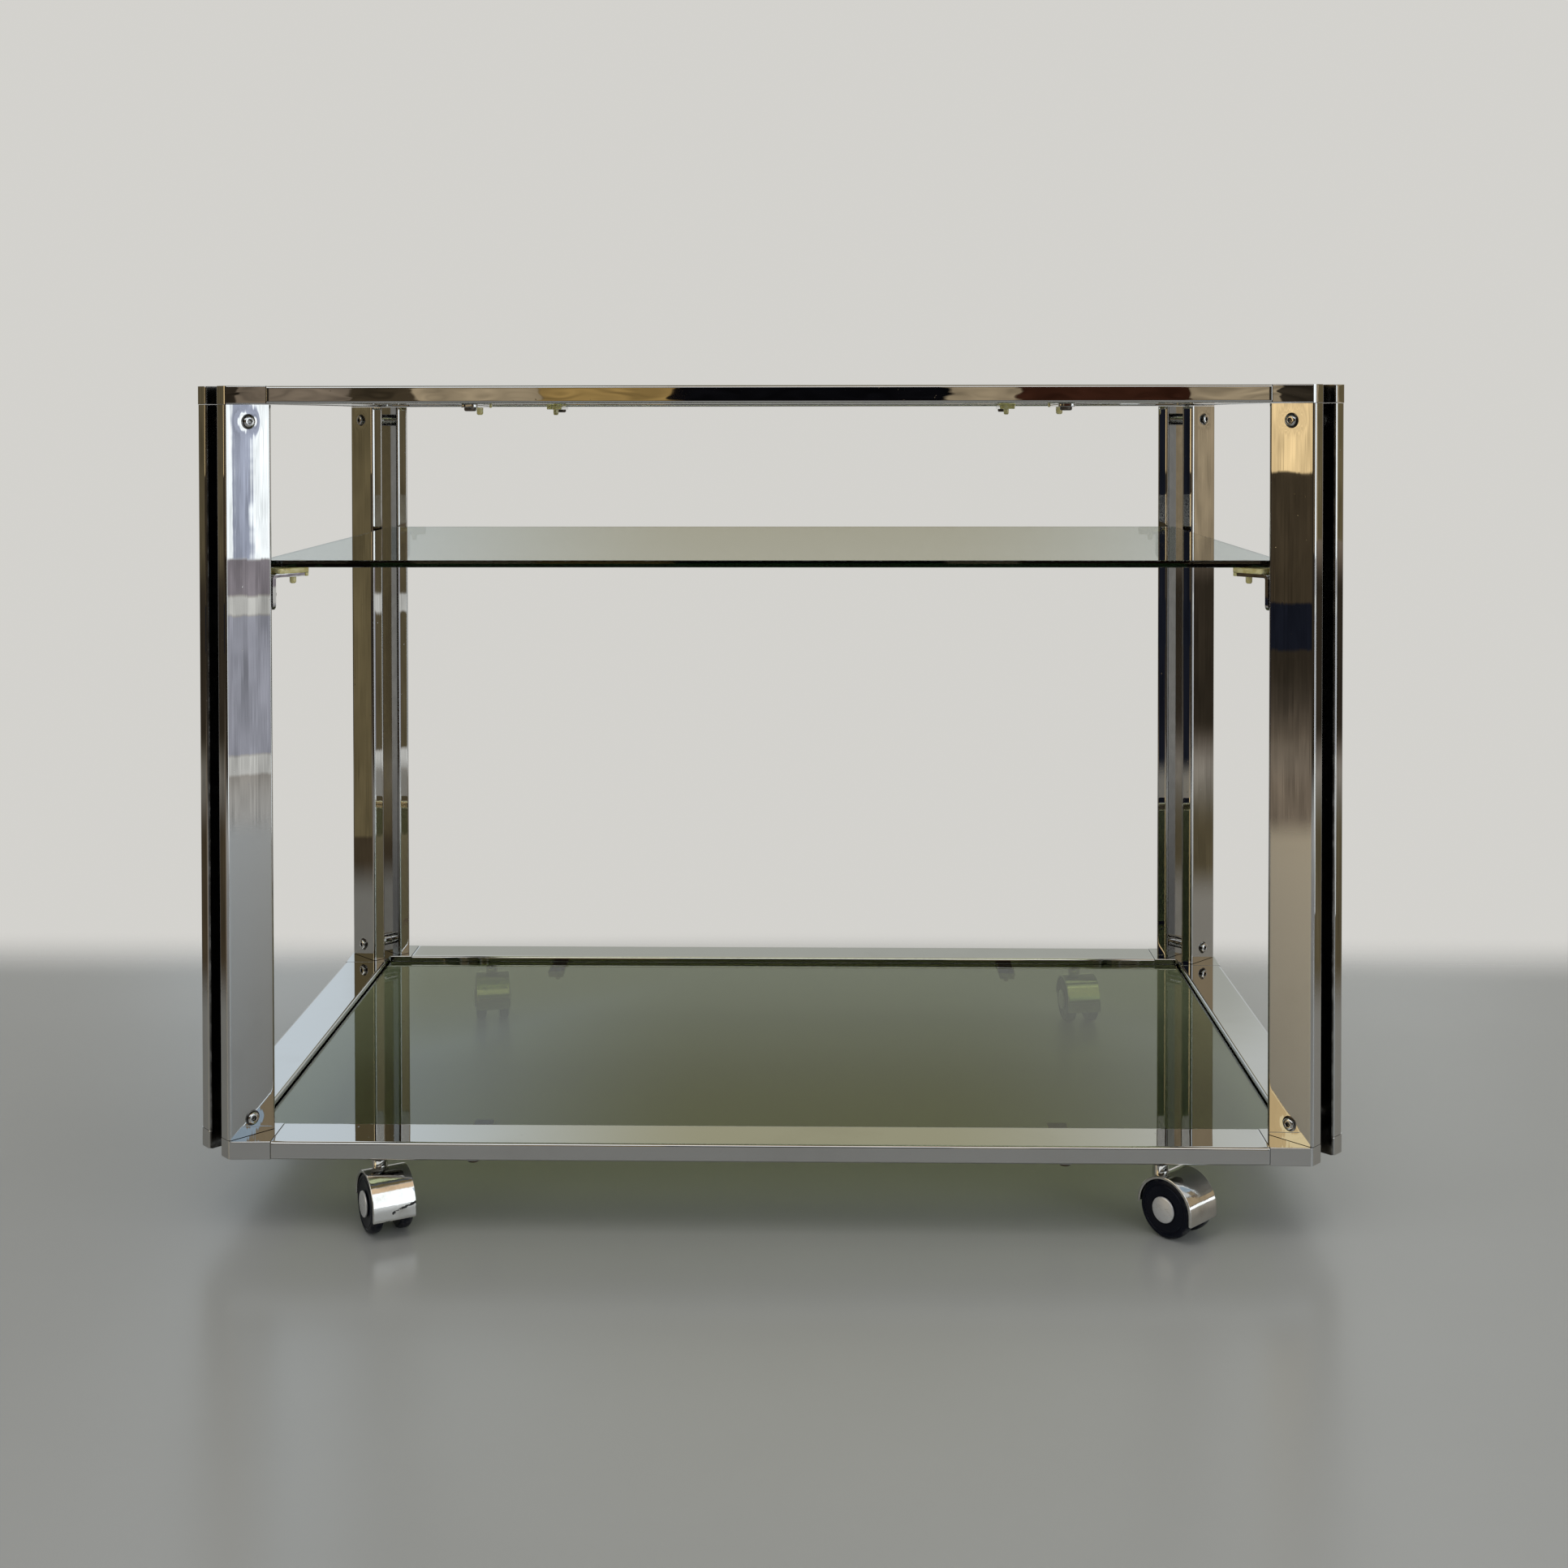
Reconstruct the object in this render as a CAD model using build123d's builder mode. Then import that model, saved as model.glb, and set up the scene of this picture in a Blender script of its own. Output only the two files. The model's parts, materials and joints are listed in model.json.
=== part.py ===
"""Three-tier serving cart: chrome flat-tube frame, three sheets of glass and four twin-wheel casters.

Millimetres, +Z up. The origin is on the floor, at the middle of the space the cart takes up with
its casters as parked. -Y is the front, +X is the right-hand end seen from the front.
"""

import os
from math import cos, radians, sin, sqrt

from build123d import *

# Frame
cart_width = 950.0
cart_depth = 590.0
rail_width = 43.0
rail_height = 15.0
tube_wall = 1.5
edge_radius = 2.0
spigot_length = 28.0
spigot_fit = 0.2
point_match = 0.1

# Legs: two flat tubes stand on the diagonal of each corner, with a gap between them
leg_width = 43.0
leg_thickness = 14.0
leg_gap = 18.0
leg_length = 605.0
corner_margin = 3.6
notch_depth = 16.0

# Leg joints: two screws meet in a round standoff in the gap, near both ends of every leg
joint_height = 14.3
joint_screw = 6.0
joint_screw_head = 10.5
joint_screw_head_height = 3.2
joint_screw_head_round = 1.5
joint_socket = 4.0
joint_socket_depth = 2.0
joint_screw_end_gap = 1.0
standoff_diameter = 13.0
standoff_groove_width = 1.5
standoff_groove_depth = 1.0
screw_play = 0.3
thread_play = 0.05

# Glass
glass_thickness = 6.0
glass_gap = 1.0
glass_corner = 4.0
shelf_drop = 131.0
shelf_corner_gap = 0.5

# Clips under the rails that carry the top and bottom glass
clip_inset = 231.0
clip_width = 14.0
clip_thickness = 3.0
clip_start = 8.0
clip_screw_inset = 16.0
clip_reach = 29.0
clip_stem_inset = 11.0
clip_round = 4.6
clip_screw = 5.0
clip_screw_head = 10.0
clip_screw_head_height = 3.0
clip_screw_length = 10.0
clip_pad_thickness = 3.0
clip_pad_gap = 1.0

# Bent brackets on the inner ends of the legs that carry the middle shelf
bracket_thickness = 3.0
bracket_drop = 30.0
bracket_inside_bend = 1.5
bracket_round = 4.6
bracket_reach = 30.0
bracket_stem_inset = 7.3
bracket_screw_drop = 17.0
bracket_screw = 4.0
bracket_screw_head = 8.0
bracket_screw_head_height = 2.6
bracket_screw_length = 12.0
shelf_pad_thickness = 4.5
shelf_pad_gap = 1.2

# Cushion pads: a plate with a lip over the end of the strap and a stem pushed through it
pad_width = 18.0
pad_lip = 3.0
pad_round = 1.0
pad_stem = 5.6
pad_tail = 6.0
pad_fit = 0.2

# Casters
caster_inset = 152.0
caster_offset = 16.5
wheel_diameter = 48.0
wheel_width = 10.5
wheel_gap = 14.0
wheel_shoulder = 3.0
hood_clearance = 1.0
hood_wall = 1.5
hood_lip = 0.5
hood_headroom = 8.5
skirt_drop = 7.5
web_play = 1.0
hub_radius = 8.0
hub_play = 0.35
axle_diameter = 6.0
axle_overhang = 1.6
axle_fit = 0.02
running_fit = 0.05
cap_diameter = 21.0
cap_play = 0.35
cap_rim = 1.0
cap_height = 2.6
boss_play = 0.5
boss_rise = 2.5
pin_diameter = 7.0
pin_length = 19.0
pin_end_gap = 1.0
pin_round = 1.0
shoulder_diameter = 10.0
shoulder_play = 0.4
flange_diameter = 16.0
flange_height = 3.0
stud_diameter = 8.0
stud_end_gap = 2.5
stud_proud = 1.5
nut_diameter = 16.0
ring_depth = 12.0
ring_height = 1.0
ring_section = 0.7
ring_bite = 0.5
ring_play = 0.3

# How far each caster stands turned at rest, in degrees about +Z
front_left_swivel = 29.0
front_right_swivel = 44.0
back_left_swivel = 12.0
back_right_swivel = 8.5

# Derived sizes: casters, upwards from the floor
axle_height = wheel_diameter / 2
hood_inner = wheel_diameter / 2 + hood_clearance
hood_outer = hood_inner + hood_wall
hood_top = axle_height + hood_outer
skirt_bottom = axle_height - skirt_drop
wheel_outer = wheel_gap / 2 + wheel_width
hood_width = 2 * (wheel_outer + hood_lip)
web_thickness = wheel_gap - 2 * web_play
boss_diameter = wheel_gap - 2 * boss_play
boss_top = hood_top + boss_rise
pin_end = boss_top - pin_length
ring_bottom = boss_top - ring_depth
frame_underside = hood_top + hood_headroom
flange_bottom = frame_underside - flange_height
stud_length = rail_height - tube_wall - stud_end_gap
nut_height = stud_length - tube_wall - stud_proud

# Derived sizes: frame
chamfer_face = 2 * leg_thickness + leg_gap
corner_half = chamfer_face / 2
chamfer_cut = chamfer_face / sqrt(2)
corner_length = chamfer_cut / 2 + (leg_width + corner_half) / sqrt(2) + corner_margin
bar_centre = (leg_gap + leg_thickness) / 2
bottom_rail_top = frame_underside + rail_height
top_frame_underside = bottom_rail_top + leg_length
joint_heights = (bottom_rail_top + joint_height, top_frame_underside - joint_height)
joint_screw_length = leg_thickness + leg_gap / 2 - joint_screw_end_gap

# Derived sizes: glass and what carries it
shelf_top = top_frame_underside - shelf_drop
shelf_underside = shelf_top - glass_thickness
shelf_inset = chamfer_cut / 2 + (leg_width + shelf_corner_gap) / sqrt(2)
clip_end = rail_width + clip_reach
clip_stem_place = clip_end - clip_stem_inset
clip_x = cart_width / 2 - clip_inset
caster_x = cart_width / 2 - caster_inset
bracket_top = shelf_underside - shelf_pad_thickness
bracket_bend = bracket_thickness + bracket_inside_bend
bracket_stem_place = bracket_reach - bracket_stem_inset


def caster_reach(swivel):
    """How far a caster's hood stands out in front of its swivel axis."""
    angle = radians(swivel)
    return (caster_offset + hood_outer) * cos(angle) + hood_width / 2 * abs(sin(angle))


front_reach = max(caster_reach(front_left_swivel), caster_reach(front_right_swivel))
caster_overhang = front_reach - rail_width / 2
frame_middle = caster_overhang / 2

sides = {"left": -1, "right": 1}
ends = {"front": -1, "back": 1}
levels = {"bottom": frame_underside, "top": top_frame_underside}
corners = [(end, side) for end in ends for side in sides]


def side_x(side, inside):
    """World X of a point that lies the given distance inside the outer face of a side rail."""
    return side * (cart_width / 2 - inside)


def end_y(end, inside):
    """World Y of a point that lies the given distance inside the outer face of a front or back rail."""
    return frame_middle + end * (cart_depth / 2 - inside)


def corner_point(side, end, inward, across):
    """World X and Y of a point at one corner of the frame.

    inward runs along the diagonal from the chamfer, across runs sideways from the diagonal,
    positive towards the front or back rail and negative towards the side rail.
    """
    from_side = chamfer_cut / 2 + (inward + across) / sqrt(2)
    from_end = chamfer_cut / 2 + (inward - across) / sqrt(2)
    return (side_x(side, from_side), end_y(end, from_end))


def inward_direction(side, end):
    return (-side / sqrt(2), -end / sqrt(2), 0)


def across_direction(side, end):
    return (-side / sqrt(2), end / sqrt(2), 0)


def save(part, name):
    part.label = name
    export_step(part, f"parts/{name}.step")


def rail_plane(along_x, place, level_bottom, start):
    """Plane across a rail at its start, with the rail width along the plane's X."""
    middle = level_bottom + rail_height / 2
    if along_x:
        return Plane(origin=(start, place, middle), x_dir=(0, 1, 0), z_dir=(1, 0, 0))
    return Plane(origin=(place, start, middle), x_dir=(1, 0, 0), z_dir=(0, 1, 0))


def end_rail(end, level_bottom, has_casters):
    """Front or back rail, with the holes in its lower wall for clips and casters."""
    length = cart_width - 2 * corner_length
    place = end_y(end, rail_width / 2)
    clip_row = end_y(end, clip_screw_inset)
    with BuildPart() as rail:
        with BuildSketch(rail_plane(True, place, level_bottom, -length / 2)):
            RectangleRounded(rail_width, rail_height, edge_radius)
            Rectangle(rail_width - 2 * tube_wall, rail_height - 2 * tube_wall, mode=Mode.SUBTRACT)
        extrude(amount=length)
        with BuildSketch(Plane.XY.offset(level_bottom)):
            with Locations((-clip_x, clip_row), (clip_x, clip_row)):
                Circle(clip_screw / 2 + thread_play)
            if has_casters:
                with Locations((-caster_x, place), (caster_x, place)):
                    Circle(stud_diameter / 2 + screw_play)
        extrude(amount=2 * tube_wall, mode=Mode.SUBTRACT)
    return rail.part


def side_rail(side, level_bottom):
    """Left or right rail, a plain flat tube."""
    length = cart_depth - 2 * corner_length
    place = side_x(side, rail_width / 2)
    start = end_y(ends["front"], corner_length)
    with BuildPart() as rail:
        with BuildSketch(rail_plane(False, place, level_bottom, start)):
            RectangleRounded(rail_width, rail_height, edge_radius)
            Rectangle(rail_width - 2 * tube_wall, rail_height - 2 * tube_wall, mode=Mode.SUBTRACT)
        extrude(amount=length)
    return rail.part


def is_near(vertex, points):
    return any(abs(vertex.X - x) + abs(vertex.Y - y) < point_match for x, y in points)


def frame_corner(side, end, level):
    """Cast corner: two prongs split by a notch, spigots for two rails and two leg tubes."""
    level_bottom = levels[level]
    upward = 1 if level == "bottom" else -1
    leg_face = bottom_rail_top if level == "bottom" else top_frame_underside
    end_rail_plane = rail_plane(True, end_y(end, rail_width / 2), level_bottom, side_x(side, 0))
    side_rail_plane = rail_plane(False, side_x(side, rail_width / 2), level_bottom, end_y(end, 0))
    outline = [
        (side_x(side, corner_length), end_y(end, 0)),
        (side_x(side, corner_length), end_y(end, rail_width)),
        (side_x(side, rail_width), end_y(end, rail_width)),
        (side_x(side, rail_width), end_y(end, corner_length)),
        (side_x(side, 0), end_y(end, corner_length)),
        corner_point(side, end, 0, -corner_half),
        corner_point(side, end, 0, -leg_gap / 2),
        corner_point(side, end, notch_depth, -leg_gap / 2),
        corner_point(side, end, notch_depth, leg_gap / 2),
        corner_point(side, end, 0, leg_gap / 2),
        corner_point(side, end, 0, corner_half),
    ]
    prong_tips = [outline[5], outline[6], outline[9], outline[10]]
    spigot_width = rail_width - 2 * (tube_wall + spigot_fit)
    spigot_height = rail_height - 2 * (tube_wall + spigot_fit)
    leg_spigot_width = leg_width - 2 * (tube_wall + spigot_fit)
    leg_spigot_thickness = leg_thickness - 2 * (tube_wall + spigot_fit)

    with BuildPart() as corner:
        for plane, inward in ((end_rail_plane, -side), (side_rail_plane, -end)):
            with BuildSketch(plane):
                RectangleRounded(rail_width, rail_height, edge_radius)
            extrude(amount=inward * corner_length)
        with BuildSketch(Plane.XY.offset(level_bottom)) as plan:
            with BuildLine():
                Polyline(*outline, close=True)
            make_face()
            tips = [v for v in plan.vertices() if is_near(v, prong_tips)]
            fillet(tips, edge_radius)
        extrude(amount=rail_height, mode=Mode.INTERSECT)
        for plane, inward in ((end_rail_plane, -side), (side_rail_plane, -end)):
            with BuildSketch(plane.offset(inward * (corner_length - tube_wall))):
                Rectangle(spigot_width, spigot_height)
            extrude(amount=inward * (spigot_length + tube_wall))
        for bar in (-1, 1):
            x, y = corner_point(side, end, leg_width / 2, bar * bar_centre)
            foot = Plane(origin=(x, y, leg_face), x_dir=inward_direction(side, end), z_dir=(0, 0, upward))
            with BuildSketch(foot.offset(-tube_wall)):
                Rectangle(leg_spigot_width, leg_spigot_thickness)
            extrude(amount=spigot_length + tube_wall)
        x, y = corner_point(side, end, leg_width / 2, 0)
        cross = Plane(origin=(x, y, leg_face + upward * joint_height), z_dir=across_direction(side, end))
        with BuildSketch(cross):
            Circle(joint_screw / 2 + screw_play)
        extrude(amount=corner_half, both=True, mode=Mode.SUBTRACT)
    return corner.part


def leg_bar(side, end, bar):
    """One flat tube of a leg, with its screw holes through both wide walls at each end."""
    x, y = corner_point(side, end, leg_width / 2, bar * bar_centre)
    foot = Plane(origin=(x, y, bottom_rail_top), x_dir=inward_direction(side, end), z_dir=(0, 0, 1))
    with BuildPart() as tube:
        with BuildSketch(foot):
            RectangleRounded(leg_width, leg_thickness, edge_radius)
            Rectangle(leg_width - 2 * tube_wall, leg_thickness - 2 * tube_wall, mode=Mode.SUBTRACT)
        extrude(amount=leg_length)
        for height in joint_heights:
            with BuildSketch(Plane(origin=(x, y, height), z_dir=across_direction(side, end))):
                Circle(joint_screw / 2 + screw_play)
            extrude(amount=leg_thickness, both=True, mode=Mode.SUBTRACT)
        if bar > 0:
            inner_x, inner_y = corner_point(side, end, leg_width, bar_centre)
            screw_height = bracket_top - bracket_screw_drop
            inward = inward_direction(side, end)
            with BuildSketch(Plane(origin=(inner_x, inner_y, screw_height), z_dir=inward)):
                Circle(bracket_screw / 2 + thread_play)
            extrude(amount=-2 * tube_wall, mode=Mode.SUBTRACT)
    return tube.part


def glass_sheet(width, depth, underside):
    with BuildPart() as sheet:
        with BuildSketch(Plane.XY.offset(underside)):
            with Locations((0, frame_middle)):
                RectangleRounded(width, depth, glass_corner)
        extrude(amount=glass_thickness)
    return sheet.part


def button_screw(diameter, head, head_height, head_round, length, socket, socket_depth):
    """Screw along Z: the head stands on the plane z = 0 and the shank runs down from it."""
    with BuildPart() as screw:
        with BuildSketch():
            Circle(head / 2)
        extrude(amount=head_height)
        fillet(screw.edges().group_by(Axis.Z)[-1], head_round)
        with BuildSketch():
            Circle(diameter / 2)
        extrude(amount=-length)
        with BuildSketch(Plane.XY.offset(head_height)):
            RegularPolygon(socket / 2, 6, major_radius=False)
        extrude(amount=-socket_depth, mode=Mode.SUBTRACT)
    return screw.part


def joint_standoff():
    """Round standoff along Z, centred, with a groove round its middle and a threaded bore."""
    with BuildPart() as standoff:
        with BuildSketch(Plane.XY.offset(-leg_gap / 2)):
            Circle(standoff_diameter / 2)
            Circle(joint_screw / 2 + thread_play, mode=Mode.SUBTRACT)
        extrude(amount=leg_gap)
        with BuildSketch(Plane.XY.offset(-standoff_groove_width / 2)):
            Circle(standoff_diameter / 2)
            Circle(standoff_diameter / 2 - standoff_groove_depth, mode=Mode.SUBTRACT)
        extrude(amount=standoff_groove_width, mode=Mode.SUBTRACT)
    return standoff.part


def glass_clip():
    """Flat strap. X runs inwards from the outer face of the rail, z = 0 is the rail's underside."""
    with BuildPart() as clip:
        with BuildSketch(Plane.XY.offset(-clip_thickness)):
            with Locations(((clip_start + clip_end) / 2, 0)):
                RectangleRounded(clip_end - clip_start, clip_width, min(clip_round, clip_width / 3))
            with Locations((clip_screw_inset, 0)):
                Circle(clip_screw / 2 + screw_play, mode=Mode.SUBTRACT)
            with Locations((clip_stem_place, 0)):
                Circle(pad_stem / 2 + pad_fit, mode=Mode.SUBTRACT)
        extrude(amount=clip_thickness)
    return clip.part


def shelf_bracket():
    """Bent strap. X runs inwards from the leg's inner end, z = 0 is the top of its level arm."""
    with BuildPart() as bracket:
        with BuildSketch(Plane.XZ.offset(-leg_thickness / 2)):
            with BuildLine():
                Polyline(
                    (0, 0),
                    (bracket_reach, 0),
                    (bracket_reach, -bracket_thickness),
                    (bracket_thickness, -bracket_thickness),
                    (bracket_thickness, -bracket_drop),
                    (0, -bracket_drop),
                    close=True,
                )
            make_face()
        extrude(amount=leg_thickness)
        bend_edges = bracket.edges().filter_by(Axis.Y)
        fillet(bend_edges.sort_by_distance((0, 0, 0))[0], bracket_bend)
        inside_bend = (bracket_thickness, 0, -bracket_thickness)
        bend_edges = bracket.edges().filter_by(Axis.Y)
        fillet(bend_edges.sort_by_distance(inside_bend)[0], bracket_inside_bend)
        lower_corners = bracket.edges().filter_by(Axis.X).group_by(Axis.Z)[0]
        fillet(lower_corners, min(bracket_round, leg_thickness / 3))
        with BuildSketch(Plane.XY):
            with Locations((bracket_stem_place, 0)):
                Circle(pad_stem / 2 + pad_fit)
        extrude(amount=-bracket_thickness, mode=Mode.SUBTRACT)
        with BuildSketch(Plane.YZ):
            with Locations((0, -bracket_screw_drop)):
                Circle(bracket_screw / 2 + screw_play)
        extrude(amount=bracket_thickness, mode=Mode.SUBTRACT)
    return bracket.part


def cushion_pad(start, strap_end, stem_place, thickness, strap_thickness):
    """Pad on a strap whose top is z = 0. X runs along the strap towards its free end."""
    tip = strap_end + pad_fit + pad_lip
    with BuildPart() as pad:
        with BuildSketch(Plane.XY):
            with Locations(((start + tip) / 2, 0)):
                RectangleRounded(tip - start, pad_width, pad_round)
        extrude(amount=thickness)
        with BuildSketch(Plane.XY):
            with Locations((tip - pad_lip / 2, 0)):
                Rectangle(pad_lip, pad_width - 2 * pad_round)
        extrude(amount=-strap_thickness)
        with BuildSketch(Plane.XY):
            with Locations((stem_place, 0)):
                Circle(pad_stem / 2)
        extrude(amount=-(strap_thickness + pad_tail))
        stem_end = pad.edges().filter_by(GeomType.CIRCLE).group_by(Axis.Z)[0]
        fillet(stem_end, pad_round)
    return pad.part


def caster_stem():
    """Threaded stud, flange, shoulder and swivel pin, on the swivel axis."""
    with BuildPart() as stem:
        with BuildSketch(Plane.XY.offset(flange_bottom)):
            Circle(flange_diameter / 2)
        extrude(amount=flange_height)
        with BuildSketch(Plane.XY.offset(frame_underside)):
            Circle(stud_diameter / 2)
        extrude(amount=stud_length)
        with BuildSketch(Plane.XY.offset(flange_bottom)):
            Circle(shoulder_diameter / 2)
        extrude(amount=boss_top + shoulder_play - flange_bottom)
        with BuildSketch(Plane.XY.offset(boss_top + shoulder_play)):
            Circle(pin_diameter / 2)
        extrude(amount=pin_end - boss_top - shoulder_play)
        pin_tip = stem.edges().filter_by(GeomType.CIRCLE).group_by(Axis.Z)[0]
        fillet(pin_tip, pin_round)
        with BuildSketch(Plane.XY.offset(ring_bottom)):
            Circle(pin_diameter / 2)
            Circle(pin_diameter / 2 - ring_bite, mode=Mode.SUBTRACT)
        extrude(amount=ring_height, mode=Mode.SUBTRACT)
    return stem.part


def stem_ring():
    """Spring ring that sits in the stem's groove and keeps the caster from dropping off."""
    inner = pin_diameter / 2 - ring_bite
    with BuildPart() as ring:
        with BuildSketch(Plane.XY.offset(ring_bottom)):
            Circle(inner + ring_bite + ring_section)
            Circle(inner, mode=Mode.SUBTRACT)
        extrude(amount=ring_height)
    return ring.part


def stem_nut():
    """Round nut inside the bottom rail, on its lower wall."""
    with BuildPart() as nut:
        with BuildSketch(Plane.XY.offset(frame_underside + tube_wall)):
            Circle(nut_diameter / 2)
            Circle(stud_diameter / 2 + thread_play, mode=Mode.SUBTRACT)
        extrude(amount=nut_height)
    return nut.part


def caster_hood():
    """Arched hood over both wheels, with the web that holds the axle and the swivel boss.

    The swivel axis is Z, the axle runs along X and lies at y = -caster_offset.
    """
    ring_groove = pin_diameter / 2 + ring_section + ring_play
    axle_centre = (-caster_offset, axle_height)
    skirt_outside = -caster_offset - hood_outer
    skirt_inside = -caster_offset - hood_inner
    web_radius = hood_inner + hood_wall / 2
    with BuildPart() as hood:
        with BuildSketch(Plane.YZ):
            with BuildLine():
                CenterArc(axle_centre, hood_outer, 0, 180)
                Polyline(
                    (skirt_outside, axle_height),
                    (skirt_outside, skirt_bottom),
                    (skirt_inside, skirt_bottom),
                    (skirt_inside, axle_height),
                )
                CenterArc(axle_centre, hood_inner, 180, -180)
                Line((-caster_offset + hood_inner, axle_height), (-caster_offset + hood_outer, axle_height))
            make_face()
        extrude(amount=hood_width / 2, both=True)
        with BuildSketch(Plane.YZ):
            with Locations(axle_centre):
                Circle(hub_radius)
            with BuildLine():
                CenterArc(axle_centre, web_radius, 0, 180)
                Line((-caster_offset - web_radius, axle_height), (-caster_offset + web_radius, axle_height))
            make_face()
        extrude(amount=web_thickness / 2, both=True)
        with BuildSketch(Plane.XY.offset(axle_height + axle_diameter)):
            Circle(boss_diameter / 2)
        extrude(amount=boss_top - axle_height - axle_diameter)
        with BuildSketch(Plane.XY.offset(pin_end - pin_end_gap)):
            Circle(pin_diameter / 2 + running_fit)
        extrude(amount=boss_top - pin_end + pin_end_gap, mode=Mode.SUBTRACT)
        with BuildSketch(Plane.XY.offset(ring_bottom - ring_play)):
            Circle(ring_groove)
        extrude(amount=ring_height + 2 * ring_play, mode=Mode.SUBTRACT)
        with BuildSketch(Plane.YZ):
            with Locations(axle_centre):
                Circle(axle_diameter / 2 + axle_fit)
        extrude(amount=hood_width, both=True, mode=Mode.SUBTRACT)
    return hood.part


def caster_axle():
    with BuildPart() as axle:
        with BuildSketch(Plane.YZ):
            with Locations((-caster_offset, axle_height)):
                Circle(axle_diameter / 2)
        extrude(amount=wheel_outer + axle_overhang, both=True)
    return axle.part


def caster_wheel(side):
    """One solid wheel with rounded shoulders and a short hub towards the web."""
    hub_face = web_thickness / 2 + hub_play
    with BuildPart() as wheel:
        with BuildSketch(Plane.YZ.offset(side * wheel_gap / 2)):
            with Locations((-caster_offset, axle_height)):
                Circle(wheel_diameter / 2)
        extrude(amount=side * wheel_width)
        fillet(wheel.edges().filter_by(GeomType.CIRCLE), wheel_shoulder)
        with BuildSketch(Plane.YZ.offset(side * hub_face)):
            with Locations((-caster_offset, axle_height)):
                Circle(hub_radius)
        extrude(amount=side * (wheel_outer - hub_face))
        with BuildSketch(Plane.YZ):
            with Locations((-caster_offset, axle_height)):
                Circle(axle_diameter / 2 + running_fit)
        extrude(amount=side * hood_width, mode=Mode.SUBTRACT)
    return wheel.part


def axle_cap(side):
    """Domed cap pushed on the axle's end, which keeps the wheel on."""
    inner_face = wheel_outer + cap_play
    with BuildPart() as cap:
        with BuildSketch(Plane.YZ.offset(side * inner_face)):
            with Locations((-caster_offset, axle_height)):
                Circle(cap_diameter / 2)
        extrude(amount=side * cap_height)
        outer_edge = cap.edges().filter_by(GeomType.CIRCLE).sort_by(Axis.X)[-1 if side > 0 else 0]
        fillet(outer_edge, cap_height - cap_rim)
        with BuildSketch(Plane.YZ.offset(side * inner_face)):
            with Locations((-caster_offset, axle_height)):
                Circle(axle_diameter / 2 + axle_fit)
        extrude(amount=side * (axle_overhang - cap_play + axle_fit), mode=Mode.SUBTRACT)
    return cap.part


def caster_place(end, side):
    """Where one caster's swivel axis meets the floor, turned to its rest direction."""
    swivels = {
        ("front", "left"): front_left_swivel,
        ("front", "right"): front_right_swivel,
        ("back", "left"): back_left_swivel,
        ("back", "right"): back_right_swivel,
    }
    angle = radians(swivels[end, side])
    spot = (sides[side] * caster_x, end_y(ends[end], rail_width / 2), 0)
    return Plane(origin=spot, x_dir=(cos(angle), sin(angle), 0), z_dir=(0, 0, 1)).location


os.makedirs("parts", exist_ok=True)

# Rails
for level, level_bottom in levels.items():
    for end, sign in ends.items():
        save(end_rail(sign, level_bottom, level == "bottom"), f"{level}_{end}_rail")
    for side, sign in sides.items():
        save(side_rail(sign, level_bottom), f"{level}_{side}_rail")

# Corners and leg tubes
for end, side in corners:
    for level in levels:
        save(frame_corner(sides[side], ends[end], level), f"{level}_{end}_{side}_corner")
    save(leg_bar(sides[side], ends[end], 1), f"{end}_{side}_leg_{end}_bar")
    save(leg_bar(sides[side], ends[end], -1), f"{end}_{side}_leg_side_bar")

# Leg joint hardware
screw_places = []
standoff_places = []
for end, side in corners:
    outward = across_direction(sides[side], ends[end])
    for height in joint_heights:
        x, y = corner_point(sides[side], ends[end], leg_width / 2, 0)
        standoff_places.append(Plane(origin=(x, y, height), z_dir=outward).location)
        for bar in (-1, 1):
            x, y = corner_point(sides[side], ends[end], leg_width / 2, bar * corner_half)
            facing = (bar * outward[0], bar * outward[1], 0)
            screw_places.append(Plane(origin=(x, y, height), z_dir=facing).location)

joint_screw_part = button_screw(
    joint_screw,
    joint_screw_head,
    joint_screw_head_height,
    joint_screw_head_round,
    joint_screw_length,
    joint_socket,
    joint_socket_depth,
)
with BuildPart() as leg_screws:
    with Locations(*screw_places):
        add(joint_screw_part)
save(leg_screws.part, "leg_screws")

standoff_part = joint_standoff()
with BuildPart() as leg_standoffs:
    with Locations(*standoff_places):
        add(standoff_part)
save(leg_standoffs.part, "leg_standoffs")

# Glass
frame_opening_x = cart_width - 2 * rail_width - 2 * glass_gap
frame_opening_y = cart_depth - 2 * rail_width - 2 * glass_gap
for level, level_bottom in levels.items():
    sheet = glass_sheet(frame_opening_x, frame_opening_y, level_bottom + clip_pad_thickness)
    save(sheet, f"{level}_glass")
shelf = glass_sheet(cart_width - 2 * shelf_inset, cart_depth - 2 * shelf_inset, shelf_underside)
save(shelf, "middle_glass_shelf")

# Clips and pads of the top and bottom glass
clip_places = []
for level_bottom in levels.values():
    for end in ends.values():
        for side in sides.values():
            spot = (side * clip_x, end_y(end, 0), level_bottom)
            clip_places.append(Plane(origin=spot, x_dir=(0, -end, 0), z_dir=(0, 0, 1)).location)

clip_part = glass_clip()
with BuildPart() as glass_clips:
    with Locations(*clip_places):
        add(clip_part)
save(glass_clips.part, "glass_clips")

clip_pad_part = cushion_pad(
    rail_width + clip_pad_gap, clip_end, clip_stem_place, clip_pad_thickness, clip_thickness
)
with BuildPart() as glass_clip_pads:
    with Locations(*clip_places):
        add(clip_pad_part)
save(glass_clip_pads.part, "glass_clip_pads")

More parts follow.
